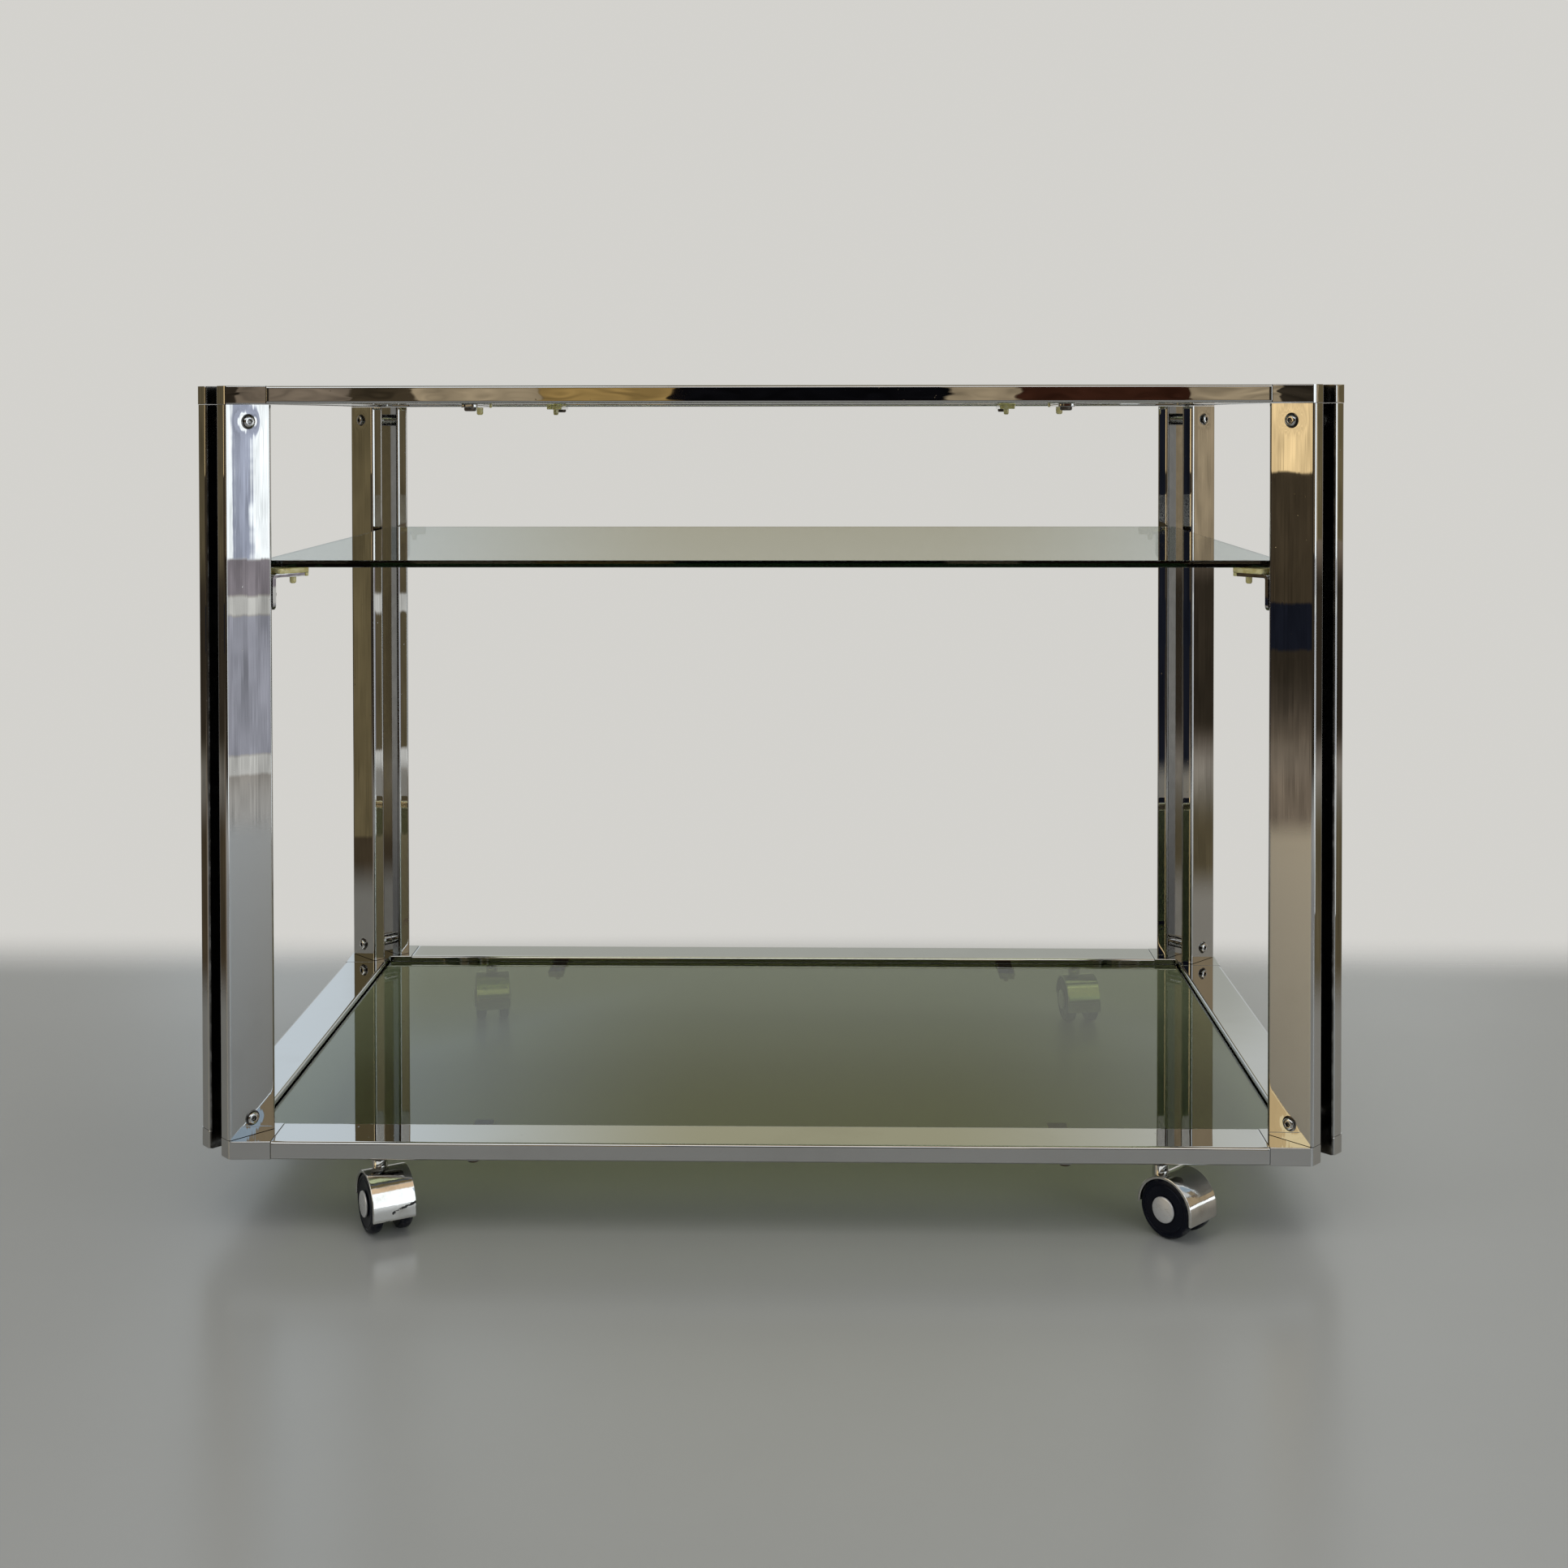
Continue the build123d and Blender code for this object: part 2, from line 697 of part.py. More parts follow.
clip_screw_part = button_screw(
    clip_screw,
    clip_screw_head,
    clip_screw_head_height,
    joint_screw_head_round,
    clip_screw_length,
    joint_socket,
    joint_socket_depth,
)
clip_screw_places = [
    place * Location((clip_screw_inset, 0, -clip_thickness), (180, 0, 0)) for place in clip_places
]
with BuildPart() as glass_clip_screws:
    with Locations(*clip_screw_places):
        add(clip_screw_part)
save(glass_clip_screws.part, "glass_clip_screws")

# Brackets and pads of the middle shelf
bracket_places = []
for end, side in corners:
    x, y = corner_point(sides[side], ends[end], leg_width, bar_centre)
    inward = inward_direction(sides[side], ends[end])
    bracket_places.append(Plane(origin=(x, y, bracket_top), x_dir=inward, z_dir=(0, 0, 1)).location)

bracket_part = shelf_bracket()
with BuildPart() as shelf_brackets:
    with Locations(*bracket_places):
        add(bracket_part)
save(shelf_brackets.part, "shelf_brackets")

shelf_pad_part = cushion_pad(
    bracket_bend + shelf_pad_gap, bracket_reach, bracket_stem_place, shelf_pad_thickness, bracket_thickness
)
with BuildPart() as shelf_pads:
    with Locations(*bracket_places):
        add(shelf_pad_part)
save(shelf_pads.part, "shelf_pads")

bracket_screw_part = button_screw(
    bracket_screw,
    bracket_screw_head,
    bracket_screw_head_height,
    joint_screw_head_round,
    bracket_screw_length,
    joint_socket,
    joint_socket_depth,
)
bracket_screw_places = [
    place * Location((bracket_thickness, 0, -bracket_screw_drop), (0, 90, 0)) for place in bracket_places
]
with BuildPart() as shelf_bracket_screws:
    with Locations(*bracket_screw_places):
        add(bracket_screw_part)
save(shelf_bracket_screws.part, "shelf_bracket_screws")

# Caster fittings that stay with the frame
caster_places = [caster_place(end, side) for end, side in corners]
for name, piece in (
    ("caster_stems", caster_stem()),
    ("caster_stem_rings", stem_ring()),
    ("caster_nuts", stem_nut()),
):
    with BuildPart() as fittings:
        with Locations(*caster_places):
            add(piece)
    save(fittings.part, name)

# Casters
hood_part = caster_hood()
axle_part = caster_axle()
wheel_parts = {side: caster_wheel(sign) for side, sign in sides.items()}
cap_parts = [axle_cap(sign) for sign in sides.values()]
for end, side in corners:
    place = caster_place(end, side)
    caster = f"{end}_{side}_caster"
    save(hood_part.moved(place), f"{caster}_hood")
    save(axle_part.moved(place), f"{caster}_axle")
    for wheel_side, wheel_part in wheel_parts.items():
        save(wheel_part.moved(place), f"{caster}_{wheel_side}_wheel")
    with BuildPart() as axle_caps:
        with Locations(place):
            for cap_part in cap_parts:
                add(cap_part)
    save(axle_caps.part, f"{caster}_axle_caps")
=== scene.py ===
"""Looks of the chrome and glass serving cart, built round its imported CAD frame.

Metres, +Z up, -Y is the front and +X the right-hand end seen from the front. A rebuilt piece stands
where the CAD node stands that it replaces.
"""

import json
from math import cos, exp, pi, radians, sin, sqrt, tan

import bmesh
import bpy
from mathutils import Matrix, Vector

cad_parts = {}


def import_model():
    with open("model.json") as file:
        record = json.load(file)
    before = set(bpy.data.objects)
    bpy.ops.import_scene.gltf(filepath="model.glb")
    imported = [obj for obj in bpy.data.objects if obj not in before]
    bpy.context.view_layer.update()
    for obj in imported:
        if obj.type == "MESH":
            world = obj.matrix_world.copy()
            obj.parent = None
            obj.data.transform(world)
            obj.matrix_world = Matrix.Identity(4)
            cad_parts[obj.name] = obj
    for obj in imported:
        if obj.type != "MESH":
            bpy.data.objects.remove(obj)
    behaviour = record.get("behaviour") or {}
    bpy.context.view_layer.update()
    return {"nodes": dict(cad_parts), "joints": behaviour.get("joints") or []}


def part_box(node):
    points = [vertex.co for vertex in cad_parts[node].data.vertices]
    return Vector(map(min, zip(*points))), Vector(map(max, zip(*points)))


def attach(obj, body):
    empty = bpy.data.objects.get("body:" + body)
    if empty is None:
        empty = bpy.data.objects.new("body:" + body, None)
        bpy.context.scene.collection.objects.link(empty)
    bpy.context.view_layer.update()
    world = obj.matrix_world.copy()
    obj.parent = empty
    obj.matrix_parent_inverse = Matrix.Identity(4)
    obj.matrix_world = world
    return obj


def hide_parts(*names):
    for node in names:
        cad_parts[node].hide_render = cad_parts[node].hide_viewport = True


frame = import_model()

# Frame sizes
rail_width = 0.043
rail_height = 0.015
edge_radius = 0.002
leg_width = 0.043
leg_thickness = 0.014
leg_gap = 0.018
corner_margin = 0.0036
notch_depth = 0.016
joint_height = 0.0143
seam_gap = 0.00022
seam_chamfer = 0.00035

# Small forms of the chrome work
dent_depth = 0.00006
dent_spread = 0.0050
leg_roll = 0.00020
leg_roll_reach = 0.0040
rail_roll = 0.00010
rail_roll_reach = 0.0030
seam_roll = 0.00016
seam_roll_reach = 0.0030
corner_radius = 0.005
screw_head = 0.0105
screw_head_height = 0.0032
screw_shade_ring = 0.0011
gap_shade_reach = 0.0014
gap_shade_fade = 0.0010
wall_spacing = 0.002
ring_step = 0.012
screw_ring_step = 0.0012
screw_ring_reach = 0.020

# Glass
glass_corner = 0.004
glass_arris = 0.0007

# Straps and pads that carry the glass
clip_x = 0.244
clip_reach = 0.072
clip_pad_start = 0.044
clip_pad_stem = 0.061
clip_pad_thickness = 0.003
bracket_reach = 0.030
shelf_pad_start = 0.0057
shelf_pad_stem = 0.0227
shelf_pad_thickness = 0.0045
pad_width = 0.018
pad_lip = 0.003
pad_stem = 0.0056
pad_tail = 0.006
strap_thickness = 0.003
pad_corner = 0.0018
pad_rim = 0.0009
lip_rim = 0.0008

# Casters
axle_height = 0.024
caster_offset = 0.0165
wheel_radius = 0.024
wheel_inner = 0.007
wheel_outer = 0.0175
hood_inner = 0.025
hood_outer = 0.0265
hood_half_width = 0.018
hood_lip_width = 0.0014
hood_lip_depth = 0.0010
skirt_drop = 0.0075
web_half = 0.006
hub_radius = 0.008
boss_bottom = 0.030
boss_top = 0.053
boss_radius = 0.0065
boss_rim = 0.0006
boss_bore = 0.0052
boss_bore_bottom = 0.050
wheel_shoulder = 0.0032
wheel_crown = 0.00012
wheel_hole = 0.0031
scrape_start = -0.001
scrape_rise = 0.0063
scrape_slope = 0.3
scrape_width = 0.0016
cap_radius = 0.0105
cap_inner = 0.01785
cap_outer = 0.02045

# Sizes that follow from the CAD boxes
frame_half_x = -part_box("bottom_left_rail")[0].x
front_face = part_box("bottom_front_rail")[0].y
back_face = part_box("bottom_back_rail")[1].y
frame_middle = (front_face + back_face) / 2
frame_half_y = (back_face - front_face) / 2
bottom_rail_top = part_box("bottom_left_rail")[1].z
top_frame_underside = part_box("top_left_rail")[0].z
leg_length = top_frame_underside - bottom_rail_top
corner_half = leg_thickness + leg_gap / 2
bar_centre = (leg_gap + leg_thickness) / 2
chamfer_cut = 2 * corner_half / sqrt(2)
corner_length = chamfer_cut / 2 + (leg_width + corner_half) / sqrt(2) + corner_margin
joint_heights = (bottom_rail_top + joint_height, top_frame_underside - joint_height)

sides = {"left": -1, "right": 1}
ends = {"front": -1, "back": 1}
levels = {"bottom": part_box("bottom_left_rail")[0].z, "top": top_frame_underside}
corners = [(end, side) for end in ends for side in sides]


def side_x(side, inside):
    """X of a point that lies the given distance inside the outer face of a side rail."""
    return side * (frame_half_x - inside)


def end_y(end, inside):
    """Y of a point that lies the given distance inside the outer face of a front or back rail."""
    return frame_middle + end * (frame_half_y - inside)


def corner_point(side, end, inward, across):
    """Point of a corner's plan: inward along its diagonal from the chamfer, across towards the end rail."""
    from_side = chamfer_cut / 2 + (inward + across) / sqrt(2)
    from_end = chamfer_cut / 2 + (inward - across) / sqrt(2)
    return Vector((side_x(side, from_side), end_y(end, from_end)))


def gap_shade_mark(side, end, inward_limit):
    """Function that tells how much painted shade a point of a corner gets in the gap between its two leg
    tubes.

    The gaps of the front legs get the full painted shade, those of the back legs a quarter of it.
    """
    most = 1.0 if end < 0 else 0.25

    def mark(point):
        from_side = frame_half_x - side * point.x - chamfer_cut / 2
        from_end = frame_half_y - end * (point.y - frame_middle) - chamfer_cut / 2
        across = abs(from_side - from_end) / sqrt(2)
        inward = (from_side + from_end) / sqrt(2)
        if inward > inward_limit:
            return 0.0
        return most * max(0.0, min(1.0, (leg_gap / 2 + gap_shade_reach - across) / gap_shade_fade))

    return mark


# Node helpers


def join(socket, value):
    """Link another node's output to a socket, or set the socket to a constant. Colours are opaque."""
    if isinstance(value, bpy.types.NodeSocket):
        socket.id_data.links.new(value, socket)
    elif socket.type == "RGBA":
        socket.default_value = (*value, 1.0)
    else:
        socket.default_value = value


def feed(node, values):
    """Join values to some of a node's input sockets, each given by its name or number."""
    for socket, value in values.items():
        join(node.inputs[socket], value)


def new_node(kind, source):
    """New shader node in the tree that a node or socket belongs to."""
    return source.id_data.nodes.new("ShaderNode" + kind)


def math_node(operation, first, second=0.0, third=0.0):
    node = new_node("Math", first if isinstance(first, bpy.types.NodeSocket) else second)
    node.operation = operation
    feed(node, {0: first, 1: second, 2: third})
    return node.outputs[0]


def times(first, second):
    return math_node("MULTIPLY", first, second)


def scaled(value, factor, offset=0.0):
    """A value times a factor, plus an offset, which may be another node's output."""
    return math_node("MULTIPLY_ADD", value, factor, offset)


def ramp(value, low, high, to_low=0.0, to_high=1.0):
    """Smooth step of a value between two limits."""
    node = new_node("MapRange", value)
    node.interpolation_type = "SMOOTHSTEP"
    feed(node, {"Value": value, "From Min": low, "From Max": high, "To Min": to_low, "To Max": to_high})
    return node.outputs["Result"]


def blend(factor, first, second):
    """Mix of two colours."""
    node = new_node("Mix", factor)
    node.data_type = "RGBA"
    feed(node, {0: factor, 6: first, 7: second})
    return node.outputs[2]


def noise(place, scale, detail=3.0, rough=0.5, distort=0.0):
    node = new_node("TexNoise", place)
    feed(node, {"Vector": place, "Scale": scale, "Detail": detail})
    feed(node, {"Roughness": rough, "Distortion": distort})
    return node.outputs[0]


def stretch(place, factors):
    node = new_node("VectorMath", place)
    node.operation = "MULTIPLY"
    feed(node, {0: place, 1: factors})
    return node.outputs[0]


def attribute(source, name):
    node = new_node("Attribute", source)
    node.attribute_name = name
    return node.outputs["Fac"]


def bump(height, distance, below=None):
    node = new_node("Bump", height)
    feed(node, {"Strength": 1.0, "Distance": distance, "Height": height})
    if below is not None:
        join(node.inputs["Normal"], below)
    return node.outputs["Normal"]


def new_material(name):
    """New material, with its shader node and the place on the object as a socket."""
    material = bpy.data.materials.new(name)
    material.use_nodes = True
    surface = material.node_tree.nodes["Principled BSDF"]
    return material, surface, new_node("TexCoord", surface).outputs["Object"]


# Materials


def chrome_material(name, ripple, dimples, ridges):
    """Polished chrome plate: wiped smears, hairlines, dull specks, uneven polish, and painted shade in the
    leg gaps and round the screw heads.

    Ripple and dimples are the depths of long and short waves, ridges that of the lines up a drawn tube.
    """
    material, surface, place = new_material(name)
    smear = ramp(noise(place, 11.0, 5.0, 0.6), 0.50, 0.80)
    hairlines = ramp(noise(stretch(place, (420.0, 420.0, 30.0)), 3.0, 2.0), 0.62, 0.82)
    specks = ramp(noise(place, 260.0, 2.0), 0.76, 0.82)
    dust = ramp(noise(place, 90.0, 5.0, 0.6), 0.30, 0.60, 0.65, 1.0)
    # Painted shade: near-black base colour where the gap attribute is set (between leg tubes, in corner
    # notches, on screw sockets and rims), mottled by a noise
    grime_and_shade = times(attribute(place, "gap"), dust)
    dull = math_node("MAXIMUM", times(smear, 0.35), specks)
    clean = blend(dull, (0.57, 0.57, 0.565), (0.46, 0.45, 0.43))
    rough = scaled(smear, 0.020, 0.008)
    rough = scaled(hairlines, 0.010, rough)
    rough = scaled(specks, 0.20, rough)
    lines = bump(noise(stretch(place, (1.0, 1.0, 0.02)), 140.0, 2.0, 0.6), ridges)
    waves = bump(noise(place, 9.0, 1.0), ripple, lines)
    short_waves = noise(stretch(place, (0.45, 0.45, 1.0)), 50.0, 1.0)
    pits = math_node("SUBTRACT", 1.0, specks)
    feed(surface, {
        "Base Color": blend(grime_and_shade, clean, (0.06, 0.056, 0.05)),
        "Metallic": 1.0,
        "Roughness": scaled(grime_and_shade, 0.22, rough),
        "Normal": bump(pits, 0.00003, bump(short_waves, dimples, waves)),
    })
    return material


def caster_chrome_material():
    """Chrome of the caster hoods: dulled, pitted, and peeled to dark metal where it has been scraped."""
    material, surface, place = new_material("worn_caster_chrome")
    flecks = noise(stretch(place, (1.0, 1.0, 1.6)), 170.0, 4.0, 0.6, 0.5)
    peel = ramp(scaled(attribute(place, "wear"), 0.50, flecks), 0.82, 0.85)
    # Dirt at random over the hood; no shade is painted here
    grime_and_shade = ramp(noise(place, 70.0, 6.0, 0.65), 0.45, 0.85)
    clean = blend(grime_and_shade, (0.66, 0.655, 0.64), (0.46, 0.44, 0.40))
    mottle = bump(noise(place, 130.0, 3.0), 0.00009)
    feed(surface, {
        "Base Color": blend(peel, clean, (0.014, 0.014, 0.016)),
        "Metallic": scaled(peel, -0.8, 1.0),
        "Roughness": scaled(peel, 0.4, scaled(grime_and_shade, 0.10, 0.05)),
        "Normal": bump(math_node("SUBTRACT", 1.0, peel), 0.00010, mottle),
    })
    return material


def glass_material(name, tint, density, smear_roughness, unevenness):
    """Sheet glass: clear through its volume colour, with wiped smears and a trace of unevenness."""
    material, surface, place = new_material(name)
    smear = ramp(noise(place, 6.0, 5.0, 0.6, 0.4), 0.50, 0.80)
    dust = ramp(noise(place, 420.0, 2.0), 0.74, 0.80)
    feed(surface, {
        "Base Color": blend(dust, (1.0, 1.0, 1.0), (0.80, 0.79, 0.76)),
        "Transmission Weight": 1.0,
        "IOR": 1.5,
        "Roughness": scaled(dust, 0.06, times(smear, smear_roughness)),
        "Normal": bump(noise(place, 4.0, 1.0), unevenness),
    })
    inside = new_node("VolumeAbsorption", surface)
    feed(inside, {"Color": tint, "Density": density})
    join(material.node_tree.nodes["Material Output"].inputs["Volume"], inside.outputs["Volume"])
    return material


def vinyl_material():
    """Soft clear vinyl, yellowed with age, duller where dirt has settled."""
    material, surface, place = new_material("yellowed_vinyl")
    age = ramp(noise(place, 160.0, 4.0), 0.35, 0.70)
    dirt = ramp(noise(place, 420.0, 4.0), 0.62, 0.80)
    yellow = blend(age, (0.74, 0.68, 0.36), (0.52, 0.44, 0.16))
    feed(surface, {
        "Base Color": blend(dirt, yellow, (0.20, 0.16, 0.08)),
        "Transmission Weight": 0.35,
        "IOR": 1.53,
        "Subsurface Weight": 0.25,
        "Subsurface Radius": (0.004, 0.003, 0.001),
        "Subsurface Scale": 0.5,
        "Roughness": ramp(dirt, 0.0, 1.0, 0.22, 0.6),
        "Normal": bump(noise(place, 240.0, 2.0), 0.00015),
    })
    return material


def wheel_material():
    """Hard black plastic: satin sides, a tread dulled by floor dust and short scuffs."""
    material, surface, place = new_material("black_wheel_plastic")
    dust = ramp(noise(place, 210.0, 6.0, 0.65), 0.42, 0.80)
    dusty = times(dust, ramp(attribute(place, "wear"), 0.0, 1.0, 0.02, 0.45))
    scratches = noise(stretch(place, (1.0, 1.0, 4.0)), 190.0, 3.0, 0.6, 1.5)
    scuffs = ramp(scratches, 0.68, 0.78)
    black = blend(noise(place, 60.0, 3.0), (0.003, 0.004, 0.008), (0.006, 0.007, 0.013))
    grey = blend(dusty, black, (0.16, 0.155, 0.145))
    feed(surface, {
        "Base Color": blend(scuffs, grey, (0.040, 0.039, 0.040)),
        "Specular IOR Level": 0.10,
        "Roughness": scaled(scuffs, 0.2, scaled(dusty, 0.4, 0.28)),
        "Normal": bump(noise(place, 500.0, 3.0), 0.00004),
    })
    return material


def cap_material():
    """Silvery cap of the wheels: satin metal with scuffs and dirt."""
    material, surface, place = new_material("satin_silver_cap")
    scratches = noise(stretch(place, (1.0, 1.0, 2.5)), 230.0, 5.0, 0.6, 0.8)
    scuffs = ramp(scratches, 0.50, 0.74)
    dirt = ramp(noise(place, 120.0, 5.0), 0.55, 0.82)
    silver = blend(scuffs, (0.66, 0.655, 0.65), (0.52, 0.51, 0.50))
    feed(surface, {
        "Base Color": blend(dirt, silver, (0.30, 0.28, 0.26)),
        "Metallic": 0.55,
        "Roughness": scaled(dirt, 0.2, scaled(scuffs, 0.16, 0.32)),
        "Normal": bump(scuffs, 0.00004),
    })
    return material


def steel_material(name, light, dark, rough_low, rough_high, metallic):
    """Plated or blackened steel of the small hidden fittings, blotchy and worn."""
    material, surface, place = new_material(name)
    blotch = ramp(noise(place, 140.0, 5.0, 0.6), 0.35, 0.75)
    feed(surface, {
        "Base Color": blend(blotch, light, dark),
        "Metallic": metallic,
        "Roughness": ramp(blotch, 0.0, 1.0, rough_low, rough_high),
        "Normal": bump(noise(place, 900.0, 2.0), 0.00002),
    })
    return material


rail_chromes = {
    "bottom": chrome_material("chrome_bottom_frame", 0.00010, 0.00003, 0.0000005),
    "top": chrome_material("chrome_top_frame", 0.00010, 0.00010, 0.0000005),
}
leg_chrome = chrome_material("chrome_legs", 0.00005, 0.000008, 0.0000080)
small_chrome = chrome_material("chrome_small_parts", 0.0002, 0.00002, 0.0000005)
caster_chrome = caster_chrome_material()
smoked_glass = glass_material("smoked_glass", (0.27, 0.355, 0.03), 220.0, 0.02, 0.00003)
clear_glass = glass_material("clear_glass", (0.45, 0.56, 0.47), 22.0, 0.005, 0.000008)
vinyl = vinyl_material()
black_wheel = wheel_material()
silver_cap = cap_material()
zinc_steel = steel_material("zinc_steel", (0.58, 0.57, 0.54), (0.34, 0.32, 0.28), 0.22, 0.42, 1.0)
dark_steel = steel_material("blackened_steel", (0.06, 0.055, 0.05), (0.14, 0.10, 0.07), 0.32, 0.6, 0.7)


# Mesh helpers


def rounded_outline(points, radii, steps=5):
    """Closed outline of 2-D points with each corner rounded by its own radius."""
    outline = []
    count = len(points)
    for index, point in enumerate(points):
        radius = radii[index]
        if radius == 0:
            outline.append(point)
            continue
        before = (points[index - 1] - point).normalized()
        after = (points[(index + 1) % count] - point).normalized()
        half = before.angle(after) / 2
        centre = point + (before + after).normalized() * radius / sin(half)
        start = point + before * radius / tan(half) - centre
        stop = point + after * radius / tan(half) - centre
        turn = pi - 2 * half
        for step in range(steps + 1):
            share = step / steps
            offset = (start * sin((1 - share) * turn) + stop * sin(share * turn)) / sin(turn)
            outline.append(centre + offset)
    return outline


def rectangle(width, depth, radius, middle=(0.0, 0.0), steps=5):
    """Rounded rectangle as a closed outline, anticlockwise."""
    x = width / 2
    y = depth / 2
    points = [Vector(p) + Vector(middle) for p in ((-x, -y), (x, -y), (x, y), (-x, y))]
    return rounded_outline(points, [radius] * 4, steps)


def divided(outline, longest):
    """The same outline with extra points, so that no side is longer than the given length."""
    result = []
    for index, point in enumerate(outline):
        following = outline[(index + 1) % len(outline)]
        pieces = max(1, round((following - point).length / longest))
        for piece in range(pieces):
            result.append(point.lerp(following, piece / pieces))
    return result


def graded(outline):
    """The same outline with extra points along its long sides, closer together towards their ends."""
    near_ends = (0.0005, 0.0011, 0.0018, 0.0026, 0.0036, 0.0048)
    result = []
    for index, point in enumerate(outline):
        following = outline[(index + 1) % len(outline)]
        length = (following - point).length
        result.append(point)
        between = length - 2 * near_ends[-1]
        if between < 0:
            continue
        pieces = max(1, round(between / wall_spacing))
        places = list(near_ends)
        places += [near_ends[-1] + between * piece / pieces for piece in range(1, pieces)]
        places += [length - place for place in reversed(near_ends)]
        for place in places:
            result.append(point.lerp(following, place / length))
    return result


def inset(outline, distance):
    """Closed anticlockwise outline moved inwards, each point along the middle of its two sides' normals."""
    result = []
    for index, point in enumerate(outline):
        before = (point - outline[index - 1]).normalized()
        after = (outline[(index + 1) % len(outline)] - point).normalized()
        normal_before = Vector((-before.y, before.x))
        normal_after = Vector((-after.y, after.x))
        middle = (normal_before + normal_after).normalized()
        result.append(point + middle * distance / max(0.3, middle.dot(normal_after)))
    return result


def skin(bm, rings, joined=False):
    """Faces between rings of points that follow each other, with flat ends or joined into a loop."""
    rows = [[bm.verts.new(point) for point in ring] for ring in rings]
    pairs = list(zip(rows, rows[1:]))
    if joined:
        pairs.append((rows[-1], rows[0]))
    for lower, upper in pairs:
        for index in range(len(lower)):
            following = (index + 1) % len(lower)
            bm.faces.new((lower[index], lower[following], upper[following], upper[index]))
    if not joined:
        bm.faces.new(list(reversed(rows[0])))
        bm.faces.new(rows[-1])
    return rows


def plate(bm, outline, low, high, edge, place, steps=3):
    """Plate over an outline, from low to high, with its upper and lower rims rounded."""
    rings = []
    for step in range(steps + 1):
        angle = step / steps * pi / 2
        ring = inset(outline, edge * (1 - sin(angle)))
        rings.append([place @ Vector((p.x, p.y, low + edge * (1 - cos(angle)))) for p in ring])
    for step in range(steps + 1):
        angle = step / steps * pi / 2
        ring = inset(outline, edge * (1 - cos(angle)))
        rings.append([place @ Vector((p.x, p.y, high - edge * (1 - sin(angle)))) for p in ring])
    return skin(bm, rings)


def lathe(bm, profile, place, steps=64, joined=False):
    """Turned body: the profile's pairs are a place along the local Z axis and a radius there."""
    rings = []
    for along, radius in profile:
        ring = []
        for step in range(steps):
            angle = 2 * pi * step / steps
            ring.append(place @ Vector((radius * cos(angle), radius * sin(angle), along)))
        rings.append(ring)
    return skin(bm, rings, joined)


def arc(centre_along, centre_radius, size, start, stop, steps=6):
    """Part of a lathe profile: an arc of the given size, angles in degrees from the along axis."""
    points = []
    for step in range(steps + 1):
        angle = radians(start + (stop - start) * step / steps)
        points.append((centre_along + size * cos(angle), centre_radius + size * sin(angle)))
    return points


def axes(origin, x_axis, z_axis):
    """Matrix that places a local frame, with its X and Z axes given."""
    x_axis = Vector(x_axis).normalized()
    z_axis = Vector(z_axis).normalized()
    y_axis = z_axis.cross(x_axis)
    columns = Matrix((x_axis, y_axis, z_axis)).transposed().to_4x4()
    return Matrix.Translation(origin) @ columns


def new_object(name, data):
    """Object in the scene that shows a mesh or holds a lamp or a camera."""
    obj = bpy.data.objects.new(name, data)
    bpy.context.scene.collection.objects.link(obj)
    return obj


def add_piece(bm, name, material, body, nodes, crease=50.0, marks=()):
    """Turn a mesh into a piece that stands for CAD nodes and rides on a body.

    Marks are pairs of an attribute's name and the function that gives its value at a point.
    """
    bmesh.ops.remove_doubles(bm, verts=bm.verts, dist=1e-7)
    bmesh.ops.recalc_face_normals(bm, faces=bm.faces)
    mesh = bpy.data.meshes.new(name)
    bm.to_mesh(mesh)
    bm.free()
    mesh.shade_smooth()
    mesh.set_sharp_from_angle(angle=radians(crease))
    for mark, value_at in marks:
        layer = mesh.attributes.new(mark, "FLOAT", "POINT")
        layer.data.foreach_set("value", [value_at(vertex.co) for vertex in mesh.vertices])
    piece = new_object(name, mesh)
    mesh.materials.append(material)
    evened = piece.modifiers.new("even_normals", "WEIGHTED_NORMAL")
    evened.keep_sharp = True
    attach(piece, body)
    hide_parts(*nodes)
    return piece


def dress_node(node, material, edge=0.0):
    """Keep a CAD node, with a better material and, where an edge width is given, softened edges."""
    obj = frame["nodes"][node]
    obj.data.materials.clear()
    obj.data.materials.append(material)
    if edge > 0:
        weld = obj.modifiers.new("weld", "WELD")
        weld.merge_threshold = 1e-6
        soften = obj.modifiers.new("soften", "BEVEL")
        soften.width = edge
        soften.segments = 2
        soften.limit_method = "ANGLE"
        soften.angle_limit = radians(40)
        evened = obj.modifiers.new("even_normals", "WEIGHTED_NORMAL")
        evened.keep_sharp = False


# Rails and corner pieces


def roll(distance, depth, reach):
    """How far a polished wall has sunk at a distance from its edge."""
    return depth * max(0.0, 1.0 - max(distance, 0.0) / reach) ** 3


def rolled(point, half_width, half_height, depth, reach):
    """A point of a tube's section, pulled in a little towards the tube's edges as on rolled tube."""
    near_x = half_width - abs(point.x)
    near_y = half_height - abs(point.y)
    sink_y = roll(near_x, depth, reach)
    sink_x = roll(near_y, depth, reach)
    x = point.x - (sink_x if point.x > 0 else -sink_x) * (near_x < edge_radius)
    y = point.y - (sink_y if point.y > 0 else -sink_y) * (near_y < edge_radius)
    return Vector((x, y))


